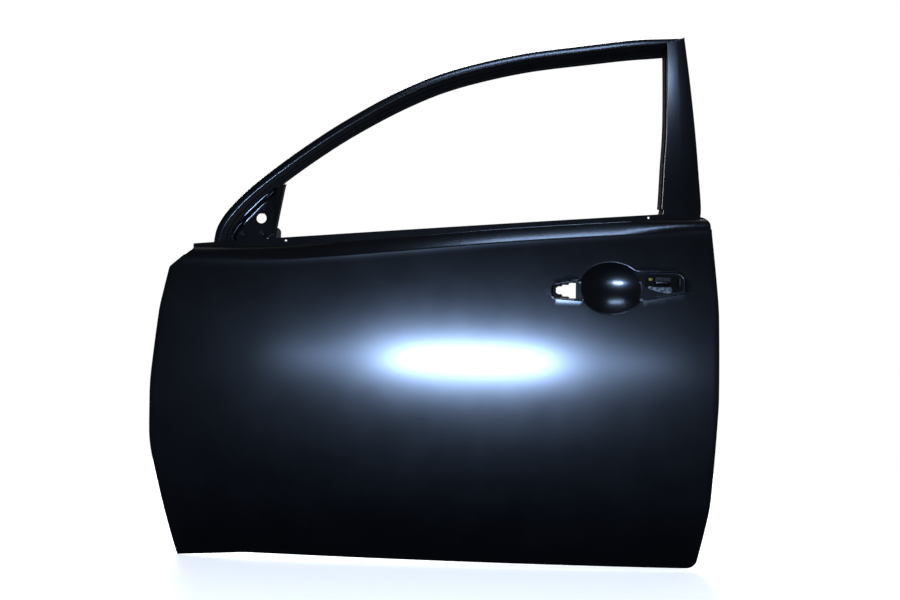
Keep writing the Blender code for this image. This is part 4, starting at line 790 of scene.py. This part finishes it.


# Lock carrier seen through the rear handle opening: a dark backing sheet that paints the shade deep in
# the opening, a ledge that the lock rests on, a round bar that it hooks on, and the turned edge of the
# handle plate behind it.
BACKING = ((0.4280, 0.5990), (0.4890, 0.5990), (0.4890, 0.6290), (0.4280, 0.6290))
BACKING_DEPTH, BACKING_SHEET, BACKING_GRID = 0.0265, 0.001, 0.02
LEDGE = ((0.4200, 0.5835, 0.001, 3), (0.4705, 0.5925, 0.001, 3), (0.4705, 0.6035, 0.0015, 3),
         (0.4330, 0.6035, 0.002, 3), (0.4200, 0.6055, 0.002, 3))
LEDGE_DEPTH, LEDGE_SHEET, LEDGE_GRID = 0.0010, 0.0008, 0.006
LEDGE_TOP, LEDGE_TILT, LEDGE_END, LEDGE_BOW = 0.605, 0.12, 0.4705, 0.7
BAR_X, BAR_Z, BAR_SET, BAR_RADIUS = (0.4360, 0.4660), (0.6130, 0.6135), 0.0085, 0.0034
LOCK_PLACE = (0.450, 0.613)
EDGE_X, EDGE_Z, EDGE_SET, EDGE_RADIUS = 0.4880, (0.6065, 0.6235), (0.0042, 0.0052), 0.0011
DOME = ((0.0, 0.02), (0.0, 0.6), (0.35, 0.9), (0.9, 1.0))
ROD_SIDES = 24


def rod(name, start, end, radius, finish):
    """A straight bar with domed ends between two places on the door."""
    a, b = Vector(start), Vector(end)
    turn = (b - a).to_track_quat("Z", "Y")
    rings = []
    for foot, stages in ((a, DOME), (b, [(-reach, share) for reach, share in reversed(DOME)])):
        for reach, share in stages:
            centre = foot + (b - a).normalized() * reach * radius
            rings.append([centre + turn @ Vector((radius * share * math.cos(t),
                                                  radius * share * math.sin(t), 0.0))
                          for t in (math.tau * k / ROD_SIDES for k in range(ROD_SIDES))])
    bm = bmesh.new()
    loft(bm, rings, closed=True)
    bmesh.ops.contextual_create(bm, geom=bm.verts[:ROD_SIDES])
    bmesh.ops.contextual_create(bm, geom=bm.verts[-ROD_SIDES:])
    return piece_from(name, bm, finish, face=None)


def backing_depth(x, z):
    return skin_depth(x, z) + BACKING_DEPTH


def ledge_depth(x, z):
    """Depth of the ledge, which leans outwards at the bottom and bows in towards the dish."""
    lean = LEDGE_TILT * max(LEDGE_TOP - z, 0.0)
    return skin_depth(x, z) + LEDGE_DEPTH + lean + LEDGE_BOW * (LEDGE_END - x) ** 2


# A dull black sheet behind the opening paints the shade deep inside it.
bm = bmesh.new()
pressing(bm, list(BACKING), [], [], [], BACKING_GRID, backing_depth)
piece_from("lock_shade_backing", bm, recess_shade_primer, BACKING_SHEET)

# Bare steel under a zinc phosphate coat, not yet dipped. Its crystals give the eye a dull, mottled
# grey, with patches of 4 to 5 mm, darker than the plated pieces.
phosphate, crystals = new_finish("zinc_phosphated_steel", Metallic=1.0)
grey_place = add_node(phosphate, "ShaderNodeTexCoord").outputs["Object"]
grey = add_node(phosphate, "ShaderNodeTexNoise",
                inputs={"Vector": grey_place, "Scale": 220.0, "Detail": 3.0})
link(phosphate, ramp(phosphate, grey.outputs["Fac"],
                     [(0.38, srgb("#17191C")), (0.62, srgb("#484D55"))]), crystals.inputs["Base Color"])
link(phosphate, ramp(phosphate, grey.outputs["Fac"], [(0.3, 0.42), (0.7, 0.56)]),
     crystals.inputs["Roughness"])
bm = bmesh.new()
pressing(bm, rounded(LEDGE), [], [], [], LEDGE_GRID, ledge_depth)
piece_from("lock_ledge", bm, phosphate, LEDGE_SHEET)
seat = skin_depth(*LOCK_PLACE)
rod("lock_bar", (BAR_X[0], seat + BAR_SET, BAR_Z[0]), (BAR_X[1], seat + BAR_SET, BAR_Z[1]),
    BAR_RADIUS, dip_primer)
rod("plate_bead", (EDGE_X, seat + EDGE_SET[0], EDGE_Z[0]), (EDGE_X, seat + EDGE_SET[1], EDGE_Z[1]),
    EDGE_RADIUS, phosphate)


# Clip on the handle plate: a small spring-steel square, zinc-plated and passivated yellow, which
# gives the eye a dull olive gold with a faint bloom.
CLIP_PLACE, CLIP_SET, CLIP_SIZE, CLIP_EDGE = (0.4255, 0.6200), 0.0040, (0.0078, 0.0008, 0.0056), 0.0002
yellow_zinc, tint = new_finish("yellow_passivated_zinc", Metallic=1.0)
yellow_place = add_node(yellow_zinc, "ShaderNodeTexCoord").outputs["Object"]
bloom = add_node(yellow_zinc, "ShaderNodeTexNoise",
                 inputs={"Vector": yellow_place, "Scale": 500.0, "Detail": 3.0})
link(yellow_zinc, ramp(yellow_zinc, bloom.outputs["Fac"],
                       [(0.35, srgb("#4A4724")), (0.65, srgb("#5E5930"))]), tint.inputs["Base Color"])
link(yellow_zinc, ramp(yellow_zinc, bloom.outputs["Fac"], [(0.3, 0.50), (0.7, 0.62)]),
     tint.inputs["Roughness"])
bm = bmesh.new()
bmesh.ops.create_cube(bm, size=1.0)
bmesh.ops.scale(bm, vec=CLIP_SIZE, verts=bm.verts)
bmesh.ops.bevel(bm, geom=bm.edges[:], offset=CLIP_EDGE, segments=2, profile=0.5, affect="EDGES")
clip_x, clip_z = CLIP_PLACE
bmesh.ops.translate(bm, vec=(clip_x, skin_depth(clip_x, clip_z) + CLIP_SET, clip_z), verts=bm.verts)
piece_from("plate_clip", bm, yellow_zinc, face=None)


# Caps on the mirror's weld nuts: dark closed ends of the same black-passivated steel, which paint the
# shade of the door's inside where the bores would show through.
NUT_BACKS, CAP_SHIFT = (0.1136, 0.1055, 0.1024), (0.0002, -0.0006)
CAP_LENGTH, CAP_RADIUS = 0.0014, 0.0040
# Each dark cap paints the shade behind a nut's bore.
for count, ((x, z), back) in enumerate(zip(MIRROR_SCREWS, NUT_BACKS), 1):
    x, z = x + CAP_SHIFT[0], z + CAP_SHIFT[1]
    rod(f"nut_shade_cap_{count}", (x, back, z), (x, back + CAP_LENGTH, z), CAP_RADIUS, black_zinc)


# Sealing pad at the front end of the belt opening: closed-cell foam, cut from sheet and stuck on.
# It gives the eye a matt, dark olive brown, pitted by cells of about 1 mm.
foam, cells = new_finish("closed_cell_foam", Roughness=0.85, IOR=1.45)
foam_place = add_node(foam, "ShaderNodeTexCoord").outputs["Object"]
cell = add_node(foam, "ShaderNodeTexVoronoi", inputs={"Vector": foam_place, "Scale": 900.0})
link(foam, ramp(foam, cell.outputs["Distance"], [(0.1, srgb("#100E07")), (0.6, srgb("#18150C"))]),
     cells.inputs["Base Color"])
pores = add_node(foam, "ShaderNodeBump",
                 inputs={"Strength": 0.6, "Distance": 0.0003, "Height": cell.outputs["Distance"]})
link(foam, pores.outputs["Normal"], cells.inputs["Normal"])
finish_node("belt_end_pad", foam)


# Floor: plain white paper that the door stands just clear of, and that keeps its soft shadow. All
# rays but the camera's meet it dark in front, so that it throws no light up at the lower skin.
FLOOR_X, FLOOR_Y, FLOOR_GAP = (-1.4, 2.6), (-1.5, 1.4), 0.0005
low_z = min(c[2] for c in cad_box)
bm = bmesh.new()
bm.faces.new([bm.verts.new((FLOOR_X[i], FLOOR_Y[k], 0.0)) for i, k in ((0, 0), (1, 0), (1, 1), (0, 1))])
mesh = bpy.data.meshes.new("floor")
bm.to_mesh(mesh)
bm.free()
floor = bpy.data.objects.new("floor", mesh)
bpy.context.scene.collection.objects.link(floor)
floor.location = (0.0, 0.0, low_z - FLOOR_GAP)
paper, matt = new_finish("white_studio_paper", Roughness=0.95, IOR=1.4, Emission_Strength=0.50)
matt.inputs["Emission Color"].default_value = (1.0, 1.0, 1.0, 1.0)
paper_place = add_node(paper, "ShaderNodeTexCoord").outputs["Object"]
fibre = add_node(paper, "ShaderNodeTexNoise",
                 inputs={"Vector": paper_place, "Scale": 40.0, "Detail": 2.0})
link(paper, ramp(paper, fibre.outputs["Fac"], [(0.3, srgb("#EDEEF0")), (0.7, srgb("#F2F3F4"))]),
     matt.inputs["Base Color"])
depth_place = add_node(paper, "ShaderNodeSeparateXYZ", inputs={0: paper_place}).outputs["Y"]
shade_side = add_node(paper, "ShaderNodeBsdfDiffuse", inputs={
    "Color": ramp(paper, depth_place, [(0.02, srgb("#2C2D30")), (0.12, srgb("#C8CACD"))])})
paper_rays = add_node(paper, "ShaderNodeLightPath")
both_sides = add_node(paper, "ShaderNodeMixShader", inputs={
    0: paper_rays.outputs["Is Camera Ray"], 1: shade_side.outputs[0], 2: matt.outputs[0]})
link(paper, both_sides.outputs[0], paper.node_tree.nodes["Material Output"].inputs["Surface"])
mesh.materials.append(paper)


# Camera: a 45 mm lens square to the middle of the door at the height of the handle, and rolled by
# 1.5 degrees.
camera_data = bpy.data.cameras.new("camera")
camera_data.lens = 45.0
camera_data.sensor_width = 36.0
camera = bpy.data.objects.new("camera", camera_data)
bpy.context.scene.collection.objects.link(camera)
camera.location = (0.596, -2.4505, 0.065)
camera.rotation_euler = (math.radians(90), math.radians(-1.5), 0.0)
bpy.context.scene.camera = camera


# Backdrop: the world is white to the camera. To the object it is a dark room in front, which
# brightens behind, so that the back of the door reads too.
world = bpy.data.worlds.new("studio")
bpy.context.scene.world = world
world.use_nodes = True
rays = add_node(world, "ShaderNodeLightPath")
white = world.node_tree.nodes["Background"]
white.inputs["Color"].default_value = (1.0, 1.0, 1.0, 1.0)
sky = add_node(world, "ShaderNodeTexCoord").outputs["Generated"]
toward = add_node(world, "ShaderNodeSeparateXYZ", inputs={0: sky}).outputs["Y"]
fill = add_node(world, "ShaderNodeMapRange", {"interpolation_type": "SMOOTHSTEP"},
                {"Value": toward, "From Min": -0.05, "From Max": 0.6,
                 "To Min": 0.04, "To Max": 0.55})
dim = add_node(world, "ShaderNodeBackground",
               inputs={"Color": (1.0, 0.94, 0.84, 1.0), "Strength": fill.outputs["Result"]})
seen = add_node(world, "ShaderNodeMixShader",
                inputs={0: rays.outputs["Is Camera Ray"], 1: dim.outputs[0], 2: white.outputs[0]})
link(world, seen.outputs[0], world.node_tree.nodes["World Output"].inputs["Surface"])


# Lamps: a long softbox by the camera makes the bright band across the skin and a wider, weaker one
# its tails. A strip overhead draws the crease, and two behind light the back and the shadow.
COOL, PLAIN = "#CAE0FB", "#FFFFFF"


def soft_light(name, place, aim, size, power, colour):
    """A rectangular studio lamp that points at a place."""
    data = bpy.data.lights.new(name, "AREA")
    data.shape = "RECTANGLE"
    data.size, data.size_y = size
    data.energy = power
    data.color = srgb(colour)[:3]
    lamp = bpy.data.objects.new(name, data)
    bpy.context.scene.collection.objects.link(lamp)
    lamp.location = place
    lamp.rotation_euler = (Vector(aim) - Vector(place)).to_track_quat("-Z", "Y").to_euler()
    return lamp


AIM = (0.60, 0.0, 0.0)
soft_light("front_softbox", (0.603, -2.52, 0.06), AIM, (0.86, 0.15), 98.0, COOL)
soft_light("front_reach", (0.61, -2.54, 0.06), AIM, (2.10, 0.15), 13.0, COOL)
soft_light("overhead_strip", (0.95, -1.20, 2.10), (0.80, 0.0, 0.2), (0.9, 0.16), 14.0, COOL)
soft_light("back_overhead", (0.60, 1.90, 2.60), AIM, (2.0, 1.2), 150.0, PLAIN)
behind = soft_light("behind_softbox", (-0.90, 2.60, 0.60), AIM, (0.7, 1.6), 60.0, PLAIN)
behind.visible_camera = False


view = bpy.context.scene.view_settings
view.view_transform = "Standard"
